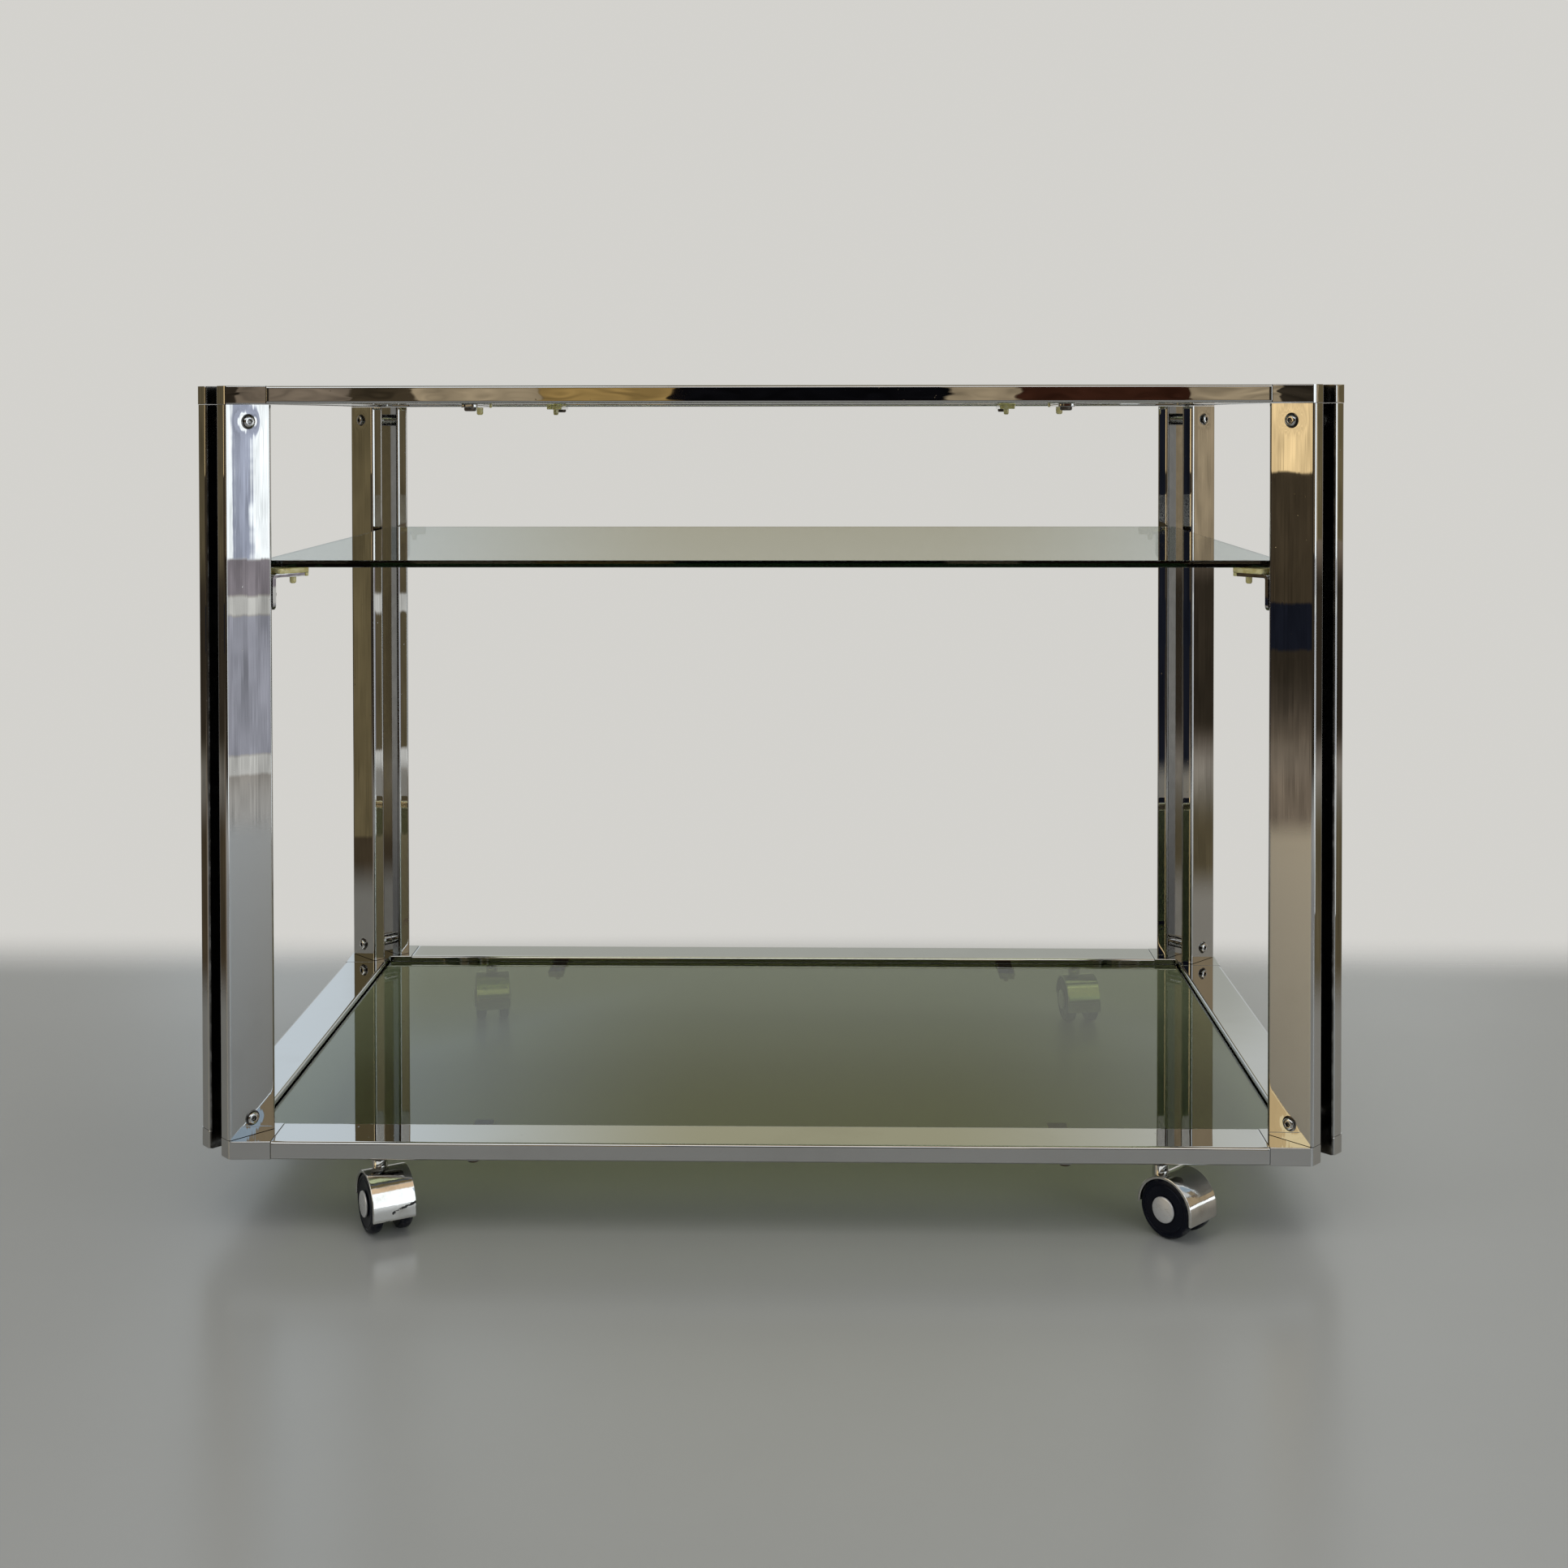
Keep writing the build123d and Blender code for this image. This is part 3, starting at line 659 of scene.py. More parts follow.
def rail(level, place_name, along_x):
    """Flat tube rail between two corner pieces, polished over towards the fine seams at its ends."""
    node = f"{level}_{place_name}_rail"
    low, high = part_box(node)
    middle = (low + high) / 2
    length = (high.x - low.x) if along_x else (high.y - low.y)
    section = graded(rectangle(rail_width, rail_height, edge_radius))
    section = [rolled(p, rail_width / 2, rail_height / 2, rail_roll, rail_roll_reach) for p in section]
    direction = (1, 0, 0) if along_x else (0, 1, 0)
    across = (0, 1, 0) if along_x else (-1, 0, 0)
    place = axes(middle, across, direction)
    half = length / 2 - seam_gap
    steps = 40
    near_end = [(half, seam_chamfer + seam_roll)]
    for step in range(8):
        distance = seam_chamfer + (seam_roll_reach - seam_chamfer) * step / 7
        near_end.append((half - distance, roll(distance, seam_roll, seam_roll_reach)))
    stations = [(-along, sink) for along, sink in near_end]
    for step in range(1, steps):
        stations.append(((half - seam_roll_reach) * (2 * step / steps - 1), 0.0))
    stations += reversed(near_end)
    rings = []
    for along, sink in stations:
        ring = inset(section, sink) if sink else section
        rings.append([place @ Vector((p.x, p.y, along)) for p in ring])
    bm = bmesh.new()
    skin(bm, rings)
    add_piece(bm, f"{level}_{place_name}_rail_tube", rail_chromes[level], "cart_frame", [node])


def corner_piece(level, end, side):
    """Corner casting: plan outline with two prongs and a notch, rims rounded except at the rail seams."""
    s = sides[side]
    e = ends[end]
    low = levels[level]
    along_rails = [(corner_length, 0), (corner_length, rail_width), (rail_width, rail_width)]
    along_rails += [(rail_width, corner_length), (0, corner_length)]
    plan = [Vector((side_x(s, from_side), end_y(e, from_end))) for from_side, from_end in along_rails]
    gap_side = leg_gap / 2
    prongs = [(0, -corner_half), (0, -gap_side), (notch_depth, -gap_side)]
    prongs += [(notch_depth, gap_side), (0, gap_side), (0, corner_half)]
    plan += [corner_point(s, e, inward, across) for inward, across in prongs]
    radii = [0, 0, 0.001, 0, 0, corner_radius, edge_radius, 0.0012, 0.0012, edge_radius, corner_radius]
    if s * e > 0:
        plan.reverse()
        radii.reverse()
    outline = rounded_outline(plan, radii)
    bm = bmesh.new()
    rows = skin(bm, [[Vector((p.x, p.y, z)) for p in outline] for z in (low, low + rail_height)])
    seam_x = side_x(s, corner_length)
    seam_y = end_y(e, corner_length)
    rims = []
    for row in rows:
        for index, vertex in enumerate(row):
            following = row[(index + 1) % len(row)]
            on_seam_x = abs(vertex.co.x - seam_x) + abs(following.co.x - seam_x) < 1e-6
            on_seam_y = abs(vertex.co.y - seam_y) + abs(following.co.y - seam_y) < 1e-6
            if not (on_seam_x or on_seam_y):
                rims.append(bm.edges.get((vertex, following)))
    bmesh.ops.bevel(
        bm,
        geom=rims,
        offset=edge_radius * 0.9,
        offset_type="OFFSET",
        segments=4,
        profile=0.5,
        affect="EDGES",
        clamp_overlap=True,
        loop_slide=True,
    )
    node = f"{level}_{end}_{side}_corner"
    # Painted shade in the notch between the prongs, where the gap between the leg tubes runs
    marks = [("gap", gap_shade_mark(s, e, notch_depth + 0.0005))]
    add_piece(bm, f"{node}_casting", rail_chromes[level], "cart_frame", [node], 60.0, marks)


for level in levels:
    for end in ends:
        rail(level, end, True)
    for side in sides:
        rail(level, side, False)
    for end, side in corners:
        corner_piece(level, end, side)


# Leg tubes and their screws


def leg_stations():
    """Heights at which a leg tube gets a ring of points: close together round the screws."""
    stations = [0.0, seam_chamfer]
    height = seam_chamfer
    while height < leg_length - seam_chamfer - 0.0005:
        near = min(abs(height + bottom_rail_top - joint) for joint in joint_heights)
        height += screw_ring_step if near < screw_ring_reach else ring_step
        stations.append(min(height, leg_length - seam_chamfer))
    stations.append(leg_length)
    return stations


def dent(along, height):
    """How far the wall of a leg tube is drawn in by the nearest screw."""
    sink = 0.0
    for joint in joint_heights:
        away = (along - leg_width / 2) ** 2 + (height - joint) ** 2
        sink += dent_depth * exp(-away / (2 * dent_spread ** 2))
    return sink


def leg_tube(end, side, bar, bar_name):
    """One flat tube of a leg, its outer wide wall drawn in round the screws."""
    s = sides[side]
    e = ends[end]
    section = graded(rectangle(leg_width, leg_thickness, edge_radius))
    section = [rolled(p, leg_width / 2, leg_thickness / 2, leg_roll, leg_roll_reach) for p in section]
    rings = []
    for station in leg_stations():
        height = bottom_rail_top + station
        at_end = station < seam_chamfer or station > leg_length - seam_chamfer
        outline = inset(section, seam_chamfer) if at_end else section
        lift = seam_gap if station == 0.0 else (-seam_gap if at_end else 0.0)
        ring = []
        for point in outline:
            inward = point.x + leg_width / 2
            outward = point.y
            if outward > leg_thickness / 2 - edge_radius / 2:
                outward -= dent(inward, height)
            spot = corner_point(s, e, inward, bar * (bar_centre + outward))
            ring.append(Vector((spot.x, spot.y, height + lift)))
        rings.append(ring)
    bm = bmesh.new()
    skin(bm, rings)
    node = f"{end}_{side}_leg_{bar_name}_bar"
    # Painted shade on the tube walls that face the gap between the two tubes of a leg
    marks = [("gap", gap_shade_mark(s, e, leg_width - 0.001))]
    add_piece(bm, f"{node}_tube", leg_chrome, "cart_frame", [node], marks=marks)


def hexagon_radius(angle, apothem):
    """Distance from the middle of a hexagon to its side, in the given direction."""
    return apothem / cos((angle + pi / 6) % (pi / 3) - pi / 6)


def button_head(bm, place):
    """Button head of a screw with a hexagon socket and a narrow flange round it for a ring of painted shade;
    z = 0 is the tube's face.
    """
    steps = 72
    radius = screw_head / 2
    rim = radius + screw_shade_ring
    dome = [(-0.0008, rim), (0.00008, rim), (0.00016, radius + screw_shade_ring / 2)]
    dome += [(0.0003, radius + 0.00002), (0.0007, radius), (0.0010, radius - 0.00005)]
    for step in range(1, 9):
        angle = radians(80 * step / 8)
        dome.append((0.0010 + 0.0022 * sin(angle) / sin(radians(80)), radius - 0.0024 * (1 - cos(angle))))
    rings = []
    for along, size in dome:
        rings.append([(size, along)] * steps)
    for apothem, along in ((0.00225, screw_head_height), (0.00200, 0.0029), (0.00198, 0.0012)):
        ring = []
        for step in range(steps):
            ring.append((hexagon_radius(2 * pi * step / steps, apothem), along))
        rings.append(ring)
    rings.append([(0.0009, 0.0007)] * steps)
    points = []
    for ring in rings:
        row = []
        for step, (size, along) in enumerate(ring):
            angle = 2 * pi * step / steps
            row.append(place @ Vector((size * cos(angle), size * sin(angle), along)))
        points.append(row)
    skin(bm, points)


for end, side in corners:
    leg_tube(end, side, 1, end)
    leg_tube(end, side, -1, "side")

screws = bmesh.new()
head_frames = []
for end, side in corners:
    for joint in joint_heights:
        for bar in (-1, 1):
            spot = corner_point(sides[side], ends[end], leg_width / 2, bar * corner_half)
            beyond = corner_point(sides[side], ends[end], leg_width / 2, bar * (corner_half + 1.0))
            outward = (beyond - spot).to_3d()
            sunk = spot.to_3d() - outward * dent_depth * 0.6
            place = axes(sunk + Vector((0, 0, joint)), (0, 0, 1), outward)
            button_head(screws, place)
            head_frames.append(place.inverted())


def head_shade_mark(point):
    """Painted shade mask: 1 in the sockets of the screw heads and on the flange round them, 0 on the
    polished domes.
    """
    local = min((to_head @ point for to_head in head_frames), key=lambda spot: spot.length)
    away = local.xy.length
    in_socket = away < 0.0027 and local.z < screw_head_height - 0.0002
    return 1.0 if in_socket or away > screw_head / 2 - 0.0004 else 0.0


# Painted shade in the screw sockets and in a dark ring round each head
marks = [("gap", head_shade_mark)]
add_piece(screws, "leg_button_screws", small_chrome, "cart_frame", ["leg_screws"], 35.0, marks)
dress_node("leg_standoffs", small_chrome, 0.0003)


# Glass


def glass_sheet(node, material):
    """Glass sheet with rounded corners and ground arrises."""
    low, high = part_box(node)
    middle = (low + high) / 2
    outline = rectangle(high.x - low.x, high.y - low.y, glass_corner, (middle.x, middle.y), 8)
    bm = bmesh.new()
    plate(bm, outline, low.z, high.z, glass_arris, Matrix.Identity(4), 2)
    add_piece(bm, f"{node}_sheet", material, "cart_frame", [node], crease=30.0)


glass_sheet("bottom_glass", smoked_glass)
glass_sheet("top_glass", smoked_glass)
glass_sheet("middle_glass_shelf", clear_glass)


# Straps and pads that carry the glass


def cushion_pad(bm, place, start, strap_end, stem_place, thickness):
    """Soft pad on a strap: a plate with rounded rims, a lip over the strap's end and a blunt stem."""
    tip = strap_end + 0.0002 + pad_lip
    middle = ((start + tip) / 2, 0.0)
    outline = rectangle(tip - start, pad_width, pad_corner, middle)
    plate(bm, outline, 0.0, thickness, pad_rim, place)
    lip = rectangle(pad_lip, pad_width - 0.002, pad_rim, (tip - pad_lip / 2, 0.0))
    plate(bm, lip, -strap_thickness, thickness * 0.6, lip_rim, place)
    radius = pad_stem / 2
    tail_end = -strap_thickness - pad_tail
    stem = [(0.0005, radius), (-strap_thickness, radius), (-strap_thickness - 0.0008, radius)]
    stem += [(tail_end + 0.0016, radius * 0.97), (tail_end + 0.0006, radius * 0.88)]
    stem += [(tail_end, radius * 0.55)]
    lathe(bm, stem, place @ Matrix.Translation((stem_place, 0, 0)), 32)


clip_pads = bmesh.new()
for level, low in levels.items():
    for end in ends.values():
        for side in sides.values():
            place = axes((side * clip_x, end_y(end, 0), low), (0, -end, 0), (0, 0, 1))
            cushion_pad(clip_pads, place, clip_pad_start, clip_reach, clip_pad_stem, clip_pad_thickness)
add_piece(clip_pads, "glass_clip_vinyl_pads", vinyl, "cart_frame", ["glass_clip_pads"])

bracket_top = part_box("shelf_brackets")[1].z
shelf_pads = bmesh.new()
for end, side in corners:
    spot = corner_point(sides[side], ends[end], leg_width, bar_centre)
    beyond = corner_point(sides[side], ends[end], leg_width + 1.0, bar_centre)
    place = axes((spot.x, spot.y, bracket_top), (beyond - spot).to_3d(), (0, 0, 1))
    cushion_pad(shelf_pads, place, shelf_pad_start, bracket_reach, shelf_pad_stem, shelf_pad_thickness)
add_piece(shelf_pads, "shelf_vinyl_pads", vinyl, "cart_frame", ["shelf_pads"])

dress_node("glass_clips", small_chrome, 0.0004)
dress_node("shelf_brackets", small_chrome, 0.0004)
dress_node("glass_clip_screws", dark_steel)
dress_node("shelf_bracket_screws", dark_steel)


# Casters


def caster_frame(end, side):
    """Local frame of a caster: Z is its swivel axis from the floor, X runs along its axle."""
    swivel = next(j for j in frame["joints"] if j["name"] == f"{end}_{side}_swivel")
    spin = next(j for j in frame["joints"] if j["name"] == f"{end}_{side}_left_wheel_spin")
    spot = Vector(swivel["pos_m"])
    return axes((spot.x, spot.y, 0.0), spin["axis"], (0, 0, 1))


def axle_frame(end, side, sign):
    """Local frame on a caster's axle: Z runs along the axle, to the left or the right by the sign."""
    return caster_frame(end, side) @ axes((0, -caster_offset, axle_height), (0, 0, 1), (sign, 0, 0))


def hood_path():
    """Stations of the hood from the skirt's lower edge over the top: place and outward normal."""
    stations = []
    for step in range(6):
        height = axle_height - skirt_drop * (1 - step / 6)
        stations.append((Vector((-caster_offset, height)), Vector((-1.0, 0.0))))
    for step in range(61):
        angle = radians(180 - 180 * step / 60)
        stations.append((Vector((-caster_offset, axle_height)), Vector((cos(angle), sin(angle)))))
    return stations


def hood_section():
    """Section of the hood's sheet along the axle: flat, with a rim at each end that turns in."""
    half = (hood_outer - hood_inner) / 2
    rim = hood_half_width - hood_lip_width
    low = -half - hood_lip_depth
    points = [(-hood_half_width, low), (-rim, low), (-rim, -half), (rim, -half), (rim, low)]
    points += [(hood_half_width, low), (hood_half_width, half), (-hood_half_width, half)]
    radii = [0.0006, 0.0006, 0.0004, 0.0004, 0.0006, 0.0006, 0.0007, 0.0007]
    return divided(rounded_outline([Vector(p) for p in points], radii, 4), 0.0016)


def caster_hood(end, side):
    """Arched chrome hood with rims, the web between the wheels and the swivel boss."""
    place = caster_frame(end, side)
    thickness = hood_outer - hood_inner
    sheet = hood_section()
    stations = hood_path()
    rings = []
    for index, (middle, normal) in enumerate(stations):
        at_end = index in (0, len(stations) - 1)
        ring = []
        for point in inset(sheet, 0.0003) if at_end else sheet:
            out = normal * ((hood_outer + hood_inner) / 2 + point.y)
            ring.append(place @ Vector((point.x, middle.x + out.x, middle.y + out.y)))
        rings.append(ring)
    bm = bmesh.new()
    skin(bm, rings)

    web = []
    for step in range(25):
        angle = radians(180 * step / 24)
        web.append(Vector((hood_inner + thickness / 2, 0)) @ Matrix.Rotation(-angle, 2))
    for step in range(13):
        angle = radians(180 + 180 * step / 12)
        web.append(Vector((hub_radius, 0)) @ Matrix.Rotation(-angle, 2))
    across = place @ axes((0, -caster_offset, axle_height), (0, 1, 0), (1, 0, 0))
    plate(bm, web, -web_half, web_half, 0.0005, across)

    boss = [(boss_bottom, boss_radius), (0.0455, boss_radius), (boss_top - boss_rim, boss_radius)]
    boss += [(boss_top, boss_radius - boss_rim), (boss_top, boss_bore), (boss_bore_bottom, boss_bore)]
    lathe(bm, boss, place, 40)

    inverse = place.inverted()
    scraped = 1.0 if (end, side) == ("front", "left") else 0.0

    def wear(point):
        """How far the plating has gone: at the lower edge, and along the front left hood's scrape."""
        local = inverse @ point
        if -caster_offset - local.y < 0.012:
            return 0.0
        above_edge = local.z - axle_height + skirt_drop
        scrape_height = scrape_rise + scrape_slope * (local.x - scrape_start)
        scrape = scraped * exp(-((above_edge - scrape_height) / scrape_width) ** 2)
        if local.x < scrape_start:
            scrape *= exp(-((local.x - scrape_start) / 0.002) ** 2)
        edge = 0.55 * exp(-above_edge / 0.0012)
        right_end = 0.5 * exp(-((local.x - hood_half_width) / 0.003) ** 2) * exp(-above_edge / 0.008)
        return max(scrape, edge, right_end)

    node = f"{end}_{side}_caster_hood"
    body = f"{end}_{side}_caster"
    add_piece(bm, f"{node}_shell", caster_chrome, body, [node], marks=[("wear", wear)])


def caster_wheel(end, side, wheel):
    """Black wheel: crowned tread, rounded shoulders, a turned ring and a dished outer face."""
    place = axle_frame(end, side, sides[wheel])
    bend = wheel_radius - wheel_crown - wheel_shoulder
    inner = wheel_inner + 0.0003
    face = wheel_outer - 0.0002
    dish = wheel_outer - 0.0006
    groove = wheel_outer - 0.0005
    profile = [(0.0064, wheel_hole), (0.0064, 0.0076), (0.0068, hub_radius), (inner, hub_radius)]
    profile += [(inner, bend - 0.003)]
    profile += arc(wheel_inner + wheel_shoulder, bend, wheel_shoulder, 180, 90)
    middle = (wheel_inner + wheel_outer) / 2
    profile += [(middle - 0.001, wheel_radius), (middle + 0.001, wheel_radius)]
    profile += arc(wheel_outer - wheel_shoulder, bend, wheel_shoulder, 90, 0)
    profile += [(wheel_outer, 0.0200), (groove, 0.0196), (groove, 0.0190), (wheel_outer - 0.0001, 0.0186)]
    profile += [(face, 0.0160), (dish, 0.0125), (dish, 0.0090), (face, 0.0060), (face, wheel_hole)]
    bm = bmesh.new()
    lathe(bm, profile, place, 96, joined=True)
    inverse = place.inverted()

    def wear(point):
        """1 on the tread, 0 on the sides."""
        local = inverse @ point
        return max(0.0, min(1.0, (sqrt(local.x ** 2 + local.y ** 2) - 0.0215) / 0.002))

    node = f"{end}_{side}_caster_{wheel}_wheel"
    body = f"{end}_{side}_{wheel}_wheel"
    add_piece(bm, f"{node}_turned", black_wheel, body, [node], 32.0, [("wear", wear)])


def caster_caps(end, side):
    """The two domed caps on the ends of a caster's axle."""
    bm = bmesh.new()
    for sign in sides.values():
        place = axle_frame(end, side, sign)
        profile = [(cap_inner, 0.0062), (cap_inner, cap_radius - 0.0003), (cap_inner + 0.0003, cap_radius)]
        profile += [(cap_inner + 0.0008, cap_radius)]
        profile += arc(cap_inner + 0.0008, cap_radius - 0.0009, 0.0009, 75, 15, 4)
        crown = 8
        for step in range(crown + 1):
            share = step / crown
            rise = (cap_outer - cap_inner - 0.0018) * (1 - (1 - share) ** 2)
            profile.append((cap_inner + 0.0018 + rise, (cap_radius - 0.0011) * (1 - share)))
        lathe(bm, profile, place, 64)
    node = f"{end}_{side}_caster_axle_caps"
    add_piece(bm, f"{node}_domed", silver_cap, f"{end}_{side}_caster", [node])


for end, side in corners:
    caster_hood(end, side)
    caster_caps(end, side)
    dress_node(f"{end}_{side}_caster_axle", zinc_steel)
    for wheel in sides:
        caster_wheel(end, side, wheel)
for node in ("caster_stems", "caster_stem_rings", "caster_nuts"):
    dress_node(node, zinc_steel)


# Stage: a pale floor, polished a little, that fades into the background


def floor():
    material, surface, place = new_material("pale_floor")
    grain = noise(place, 3.0, 6.0, 0.6)
    colour = blend(grain, (0.335, 0.335, 0.32), (0.365, 0.365, 0.35))
    feed(surface, {"Base Color": colour, "Roughness": 0.26})
    split = new_node("SeparateXYZ", place)
    join(split.inputs[0], place)
    x, y = split.outputs[:2]
    sideways = ramp(math_node("ABSOLUTE", x), 1.00, 1.25)
    backwards = ramp(y, 0.42, 0.64)
    forwards = ramp(y, -0.90, -1.25)
    fade = math_node("MAXIMUM", sideways, math_node("MAXIMUM", backwards, forwards))
    clear = new_node("BsdfTransparent", surface)
    mixed = new_node("MixShader", surface)
    feed(mixed, {0: fade, 1: surface.outputs[0], 2: clear.outputs[0]})
    join(material.node_tree.nodes["Material Output"].inputs["Surface"], mixed.outputs[0])
    mesh = bpy.data.meshes.new("floor")
    mesh.from_pydata([(-2, -2, 0), (2, -2, 0), (2, 2, 0), (-2, 2, 0)], [], [(0, 1, 2, 3)])
    mesh.materials.append(material)
    obj = new_object("floor", mesh)


floor()


# World: pale background over a floor tone, even light, and studio walls and cards that only mirrors see

background = (0.655, 0.645, 0.615)
floor_tone = (0.275, 0.275, 0.262)
low_ambient = (0.84, 0.88, 0.90)
high_ambient = (0.46, 0.45, 0.44)
ground = (0.30, 0.30, 0.295)
low_shade = (0.33, 0.31, 0.22)
mid_shade = (0.49, 0.505, 0.46)
high_shade = (0.465, 0.45, 0.305)
low_wall = (0.46, 0.505, 0.51)
side_wall = (0.42, 0.42, 0.40)
cool_wall = (0.78, 0.87, 0.94)
plain_wall = (0.72, 0.75, 0.74)
ceiling = (1.25, 1.24, 1.20)
beige = (0.90, 0.68, 0.46)
sky = (1.30, 1.34, 1.36)
skylight = (2.60, 2.35, 2.10)
pale_blue = (0.56, 0.71, 0.86)

black = (0.004, 0.004, 0.005)
navy = (0.012, 0.014, 0.022)
slate = (0.10, 0.115, 0.13)
moss = (0.030, 0.040, 0.024)
maroon = (0.050, 0.018, 0.010)
brown = (0.040, 0.031, 0.021)
umber = (0.070, 0.052, 0.031)
khaki = (0.13, 0.105, 0.060)
olive = (0.17, 0.135, 0.070)
taupe = (0.24, 0.19, 0.14)
sand = (0.43, 0.34, 0.22)
bronze = (0.40, 0.26, 0.09)
gold = (1.22, 0.90, 0.47)
cream = (1.60, 1.32, 0.78)
mauve = (0.33, 0.30, 0.33)
lilac = (0.54, 0.59, 0.74)
grey = (0.44, 0.45, 0.52)
chalk = (0.74, 0.74, 0.71)
window = (1.60, 1.70, 1.75)

# Walls have soft edges. Each: bearing from and to (0 is the camera's side, 90 the right-hand end), elevation
# from and to, softness of its edge, all in degrees, and its colour.
walls = [
    (-400, 400, 44, 100, 14.0, ceiling),
    (-75, 75, 24, 46, 5.0, sky),
    (-10, 75, 46, 62, 4.0, beige),
    (-400, 400, 62, 100, 6.0, olive),
    (-400, 400, 74, 100, 6.0, moss),
    (-62, 37, -11, 22, 3.0, brown),
    (37, 52, -12, 44, 3.0, window),
    (80, 130, 40, 100, 6.0, slate),
    (-128, -58, -40, -10, 4.0, umber),
    (-128, -58, -10, 32, 3.0, khaki),
    (-128, -58, -9.5, -4.4, 1.6, brown),
    (-98, -58, -40, -9.0, 4.0, taupe),
    (80, 128, -40, -10, 4.0, khaki),
    (52, 128, -10, 40, 3.0, taupe),
    (80, 128, -9.5, -4.2, 1.6, brown),
    (84, 128, 5, 40, 3.0, sand),
]

# Cards have narrow edges and lie over the walls, a later one over those before it.
card_softness = 0.10
cards = [
    # In front, mirrored by the top rail: dark in the middle, warm beside it
    (-17.0, -13.8, -4, 9, taupe),
    (-13.8, -11.9, -4, 9, umber),
    (-11.9, -8.4, -4, 9, sand),
    (-8.4, -4.4, -4, 9, bronze),
    (-4.4, 3.7, -4, 9, black),
    (3.7, 5.8, -4, 9, sand),
    (5.8, 10.7, -4, 9, maroon),
    (10.7, 13.3, -4, 9, sand),
    # On the left, mirrored by the front right leg: warm and bright above, dark below
    (-78.6, -60, -1.66, 26, gold),
    (-76.3, -60, 13, 26, cream),
    (-98, -60, -5.35, -1.66, umber),
    (-98, -60, -6.70, -5.35, navy),
    # On the left, mirrored by the front left leg's edge and by the back legs: dark
    (-104.3, -102.6, -12, 24, olive),
    (-81.5, -78.9, -11.5, 20, navy),
    # On the right, mirrored by the front left leg: a window over a grey wall with pale ledges
    (46, 76.2, -4.1, 12, window),
    (72.98, 73.52, -4.1, 12, lilac),
    (46, 76.2, -5.14, -4.1, mauve),
    (52, 73.4, 12, 40, pale_blue),
    (73.4, 80, 12, 40, sand),
    (46, 76.2, -9.60, -5.67, grey),
    (76.2, 80, -9.60, 12, khaki),
    (46, 80, -5.67, -5.14, chalk),
    (46, 80, -10.14, -9.60, chalk),
    # On the right, mirrored by the back legs and the front right leg's edge: a window and a warm wall
    (80.5, 97, -14, 3, window),
    (99.5, 106.5, -3.6, 24, olive),
    (100.2, 104.2, -3.6, 24, sand),
]


def wall_mask(bearing, elevation, left, right, low, high, soft):
    """1 inside a range of bearing and elevation, 0 outside, with soft edges."""
    mask = ramp(bearing, left - soft / 2, left + soft / 2)
    edges = (
        (bearing, right - soft / 2, right + soft / 2, 1.0, 0.0),
        (elevation, low - soft / 2, low + soft / 2, 0.0, 1.0),
        (elevation, high - soft / 2, high + soft / 2, 1.0, 0.0),
    )
    for value, start, stop, before, after in edges:
        mask = times(mask, ramp(value, start, stop, before, after))
    return mask


def card_edge(value, low, high):
    """1 between two limits, 0 outside, with narrow edges."""
    away = math_node("ABSOLUTE", math_node("SUBTRACT", value, (low + high) / 2))
    inside = scaled(away, -1 / card_softness, (high - low) / 2 / card_softness + 0.5)
    inside.node.use_clamp = True
    return inside


def back_wall(x, bearing, elevation):
    """Wall behind the cart: cool on the left, plain on the right, and in the cart's shade in the middle."""
    turned = math_node("ABSOLUTE", bearing)
    open_wall = blend(ramp(x, -0.12, 0.12), cool_wall, plain_wall)
    open_wall = blend(ramp(turned, 159.0, 163.0), side_wall, open_wall)
    open_wall = blend(ramp(elevation, 5.0, 12.0), low_wall, open_wall)
    shade = blend(ramp(elevation, 6.0, 13.0), low_shade, mid_shade)
    shade = blend(ramp(elevation, 16.0, 20.5), shade, high_shade)
    middle = ramp(turned, 164.0, 177.0)
    band = wall_mask(turned, elevation, 167.0, 200.0, 10.0, 17.5, 3.0)
    wall = blend(math_node("MAXIMUM", middle, band), open_wall, shade)
    wall = blend(ramp(elevation, 1.5, 3.0), background, wall)
    return blend(ramp(elevation, -14.0, -9.0), ground, wall)


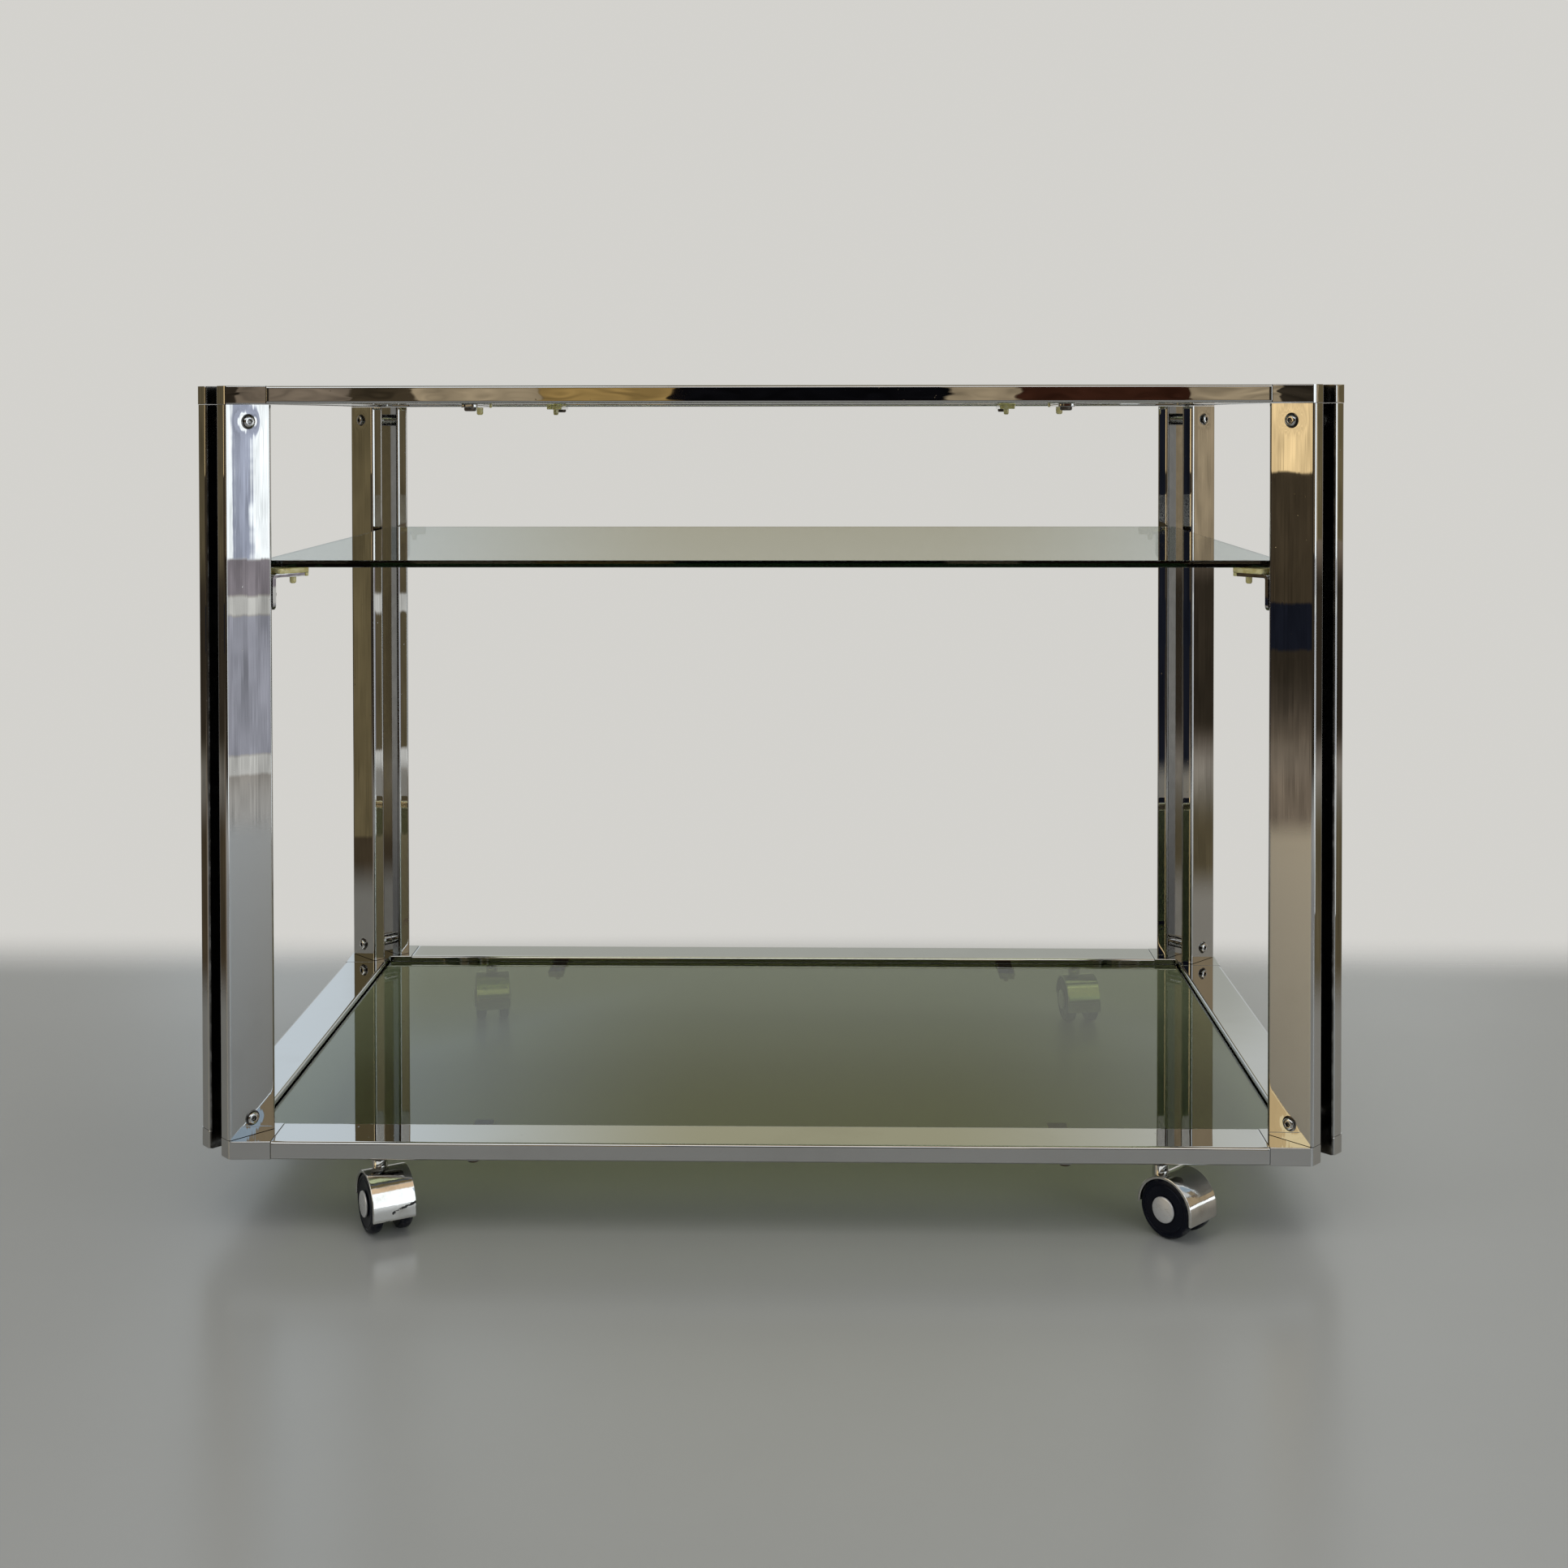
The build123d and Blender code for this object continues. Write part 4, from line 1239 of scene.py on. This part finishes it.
def mirrored_room(x, bearing, elevation):
    """What chrome and glass mirror: the back wall, the walls and the cards, with uneven edges and tones."""
    seen = back_wall(x, bearing, elevation)
    spread = new_node("CombineXYZ", bearing)
    feed(spread, {0: bearing, 1: elevation})
    angles = spread.outputs[0]
    turned = math_node("ABSOLUTE", bearing)
    front = ramp(turned, 40.0, 60.0, 1.0, 0.0)
    unrest = noise(stretch(angles, (0.7, 2.2, 1.0)), 1.0, 1.0)
    unrest = math_node("SUBTRACT", unrest, 0.5)
    sway = times(unrest, scaled(front, 0.80, 0.16))
    bob = scaled(noise(stretch(angles, (3.0, 0.4, 1.0)), 1.0, 1.0), 0.20, -0.10)
    uneven_bearing = math_node("ADD", bearing, sway)
    uneven_elevation = math_node("ADD", elevation, bob)
    for left, right, low, high, soft, colour in walls:
        mask = wall_mask(bearing, elevation, left, right, low, high, soft)
        seen = blend(mask, seen, colour)
    uprights = {}
    for left, right, low, high, colour in cards:
        if (low, high) not in uprights:
            uprights[low, high] = card_edge(uneven_elevation, low, high)
        across = card_edge(uneven_bearing, left, right)
        seen = blend(times(across, uprights[low, high]), seen, colour)
    sides_only = ramp(turned, 40.0, 60.0, 0.0, 1.5)
    sides_only = times(sides_only, ramp(turned, 128.0, 140.0, 1.0, 0.0))
    sides_only = times(sides_only, ramp(elevation, 4.0, 10.0, 1.0, 0.15))
    streaks = noise(stretch(angles, (5.0, 0.45, 1.0)), 1.0, 2.0, 0.6)
    tone = scaled(math_node("SUBTRACT", streaks, 0.5), sides_only, 1.0)
    tone = scaled(unrest, scaled(front, 1.8), tone)
    toned = new_node("VectorMath", seen)
    toned.operation = "SCALE"
    feed(toned, {0: seen, "Scale": tone})
    return toned.outputs[0]


def world():
    """What each kind of ray sees.

    Camera and glass see the pale background with a bright skylight in front, mirrors see the room, and
    everything else gets even light.
    """
    world_data = bpy.data.worlds.new("studio")
    bpy.context.scene.world = world_data
    world_data.use_nodes = True
    shade = world_data.node_tree.nodes["Background"]
    split = new_node("SeparateXYZ", shade)
    join(split.inputs[0], new_node("TexCoord", shade).outputs["Generated"])
    x, y, z = split.outputs
    towards_camera = times(y, -1.0)
    bearing = times(math_node("ARCTAN2", x, towards_camera), 180 / pi)
    elevation = times(math_node("ARCSINE", z), 180 / pi)
    room = mirrored_room(x, bearing, elevation)
    path = new_node("LightPath", shade).outputs
    mirrored = times(path["Is Glossy Ray"], path["Is Reflection Ray"])
    shown = math_node("MAXIMUM", path["Is Camera Ray"], path["Is Transmission Ray"])
    backdrop = blend(ramp(elevation, -16.6, -14.9), floor_tone, background)
    backdrop = blend(wall_mask(bearing, elevation, -75, 75, 24, 70, 5.0), backdrop, skylight)
    ambient = blend(ramp(elevation, 20.0, 45.0), low_ambient, high_ambient)
    light = blend(shown, ambient, backdrop)
    join(shade.inputs["Color"], blend(mirrored, light, room))


world()


def softbox(name, place, aim, width, height, power, colour):
    data = bpy.data.lights.new(name, "AREA")
    data.shape = "RECTANGLE"
    data.size = width
    data.size_y = height
    data.energy = power
    data.color = colour
    lamp = new_object(name, data)
    lamp.location = place
    lamp.rotation_mode = "QUATERNION"
    lamp.rotation_quaternion = (Vector(aim) - Vector(place)).to_track_quat("-Z", "Y")
    lamp.visible_camera = False
    lamp.visible_glossy = False


softbox("overhead_softbox", (0.3, -0.3, 2.5), (0.0, 0.0, 0.2), 3.6, 1.6, 20.0, (1.0, 0.985, 0.96))
softbox("window_softbox", (1.9, -1.9, 0.7), (0.0, 0.0, 0.2), 1.4, 1.2, 12.0, (0.86, 0.95, 1.0))


# Camera at the photograph's viewing angle

image_size = 1932.0
focal_pixels = 2388.1
principal_y = 553.9
camera_yaw = radians(-1.119)
camera_pitch = radians(1.0)
camera_roll = radians(-0.073)
camera_place = (0.0447, -1.8662 + frame_middle, 0.6690)


def camera():
    level_right = Vector((cos(camera_yaw), -sin(camera_yaw), 0.0))
    level = cos(camera_pitch)
    forward = Vector((sin(camera_yaw) * level, cos(camera_yaw) * level, -sin(camera_pitch)))
    level_up = level_right.cross(forward)
    right = level_right * cos(camera_roll) + level_up * sin(camera_roll)
    up = level_up * cos(camera_roll) - level_right * sin(camera_roll)
    data = bpy.data.cameras.new("camera")
    data.sensor_fit = "HORIZONTAL"
    data.sensor_width = 36.0
    data.lens = focal_pixels / image_size * data.sensor_width
    data.shift_y = (principal_y - image_size / 2) / image_size
    obj = new_object("camera", data)
    turn = Matrix((right, up, -forward)).transposed().to_4x4()
    obj.matrix_world = Matrix.Translation(camera_place) @ turn
    bpy.context.scene.camera = obj


camera()
bpy.context.scene.view_settings.view_transform = "Standard"
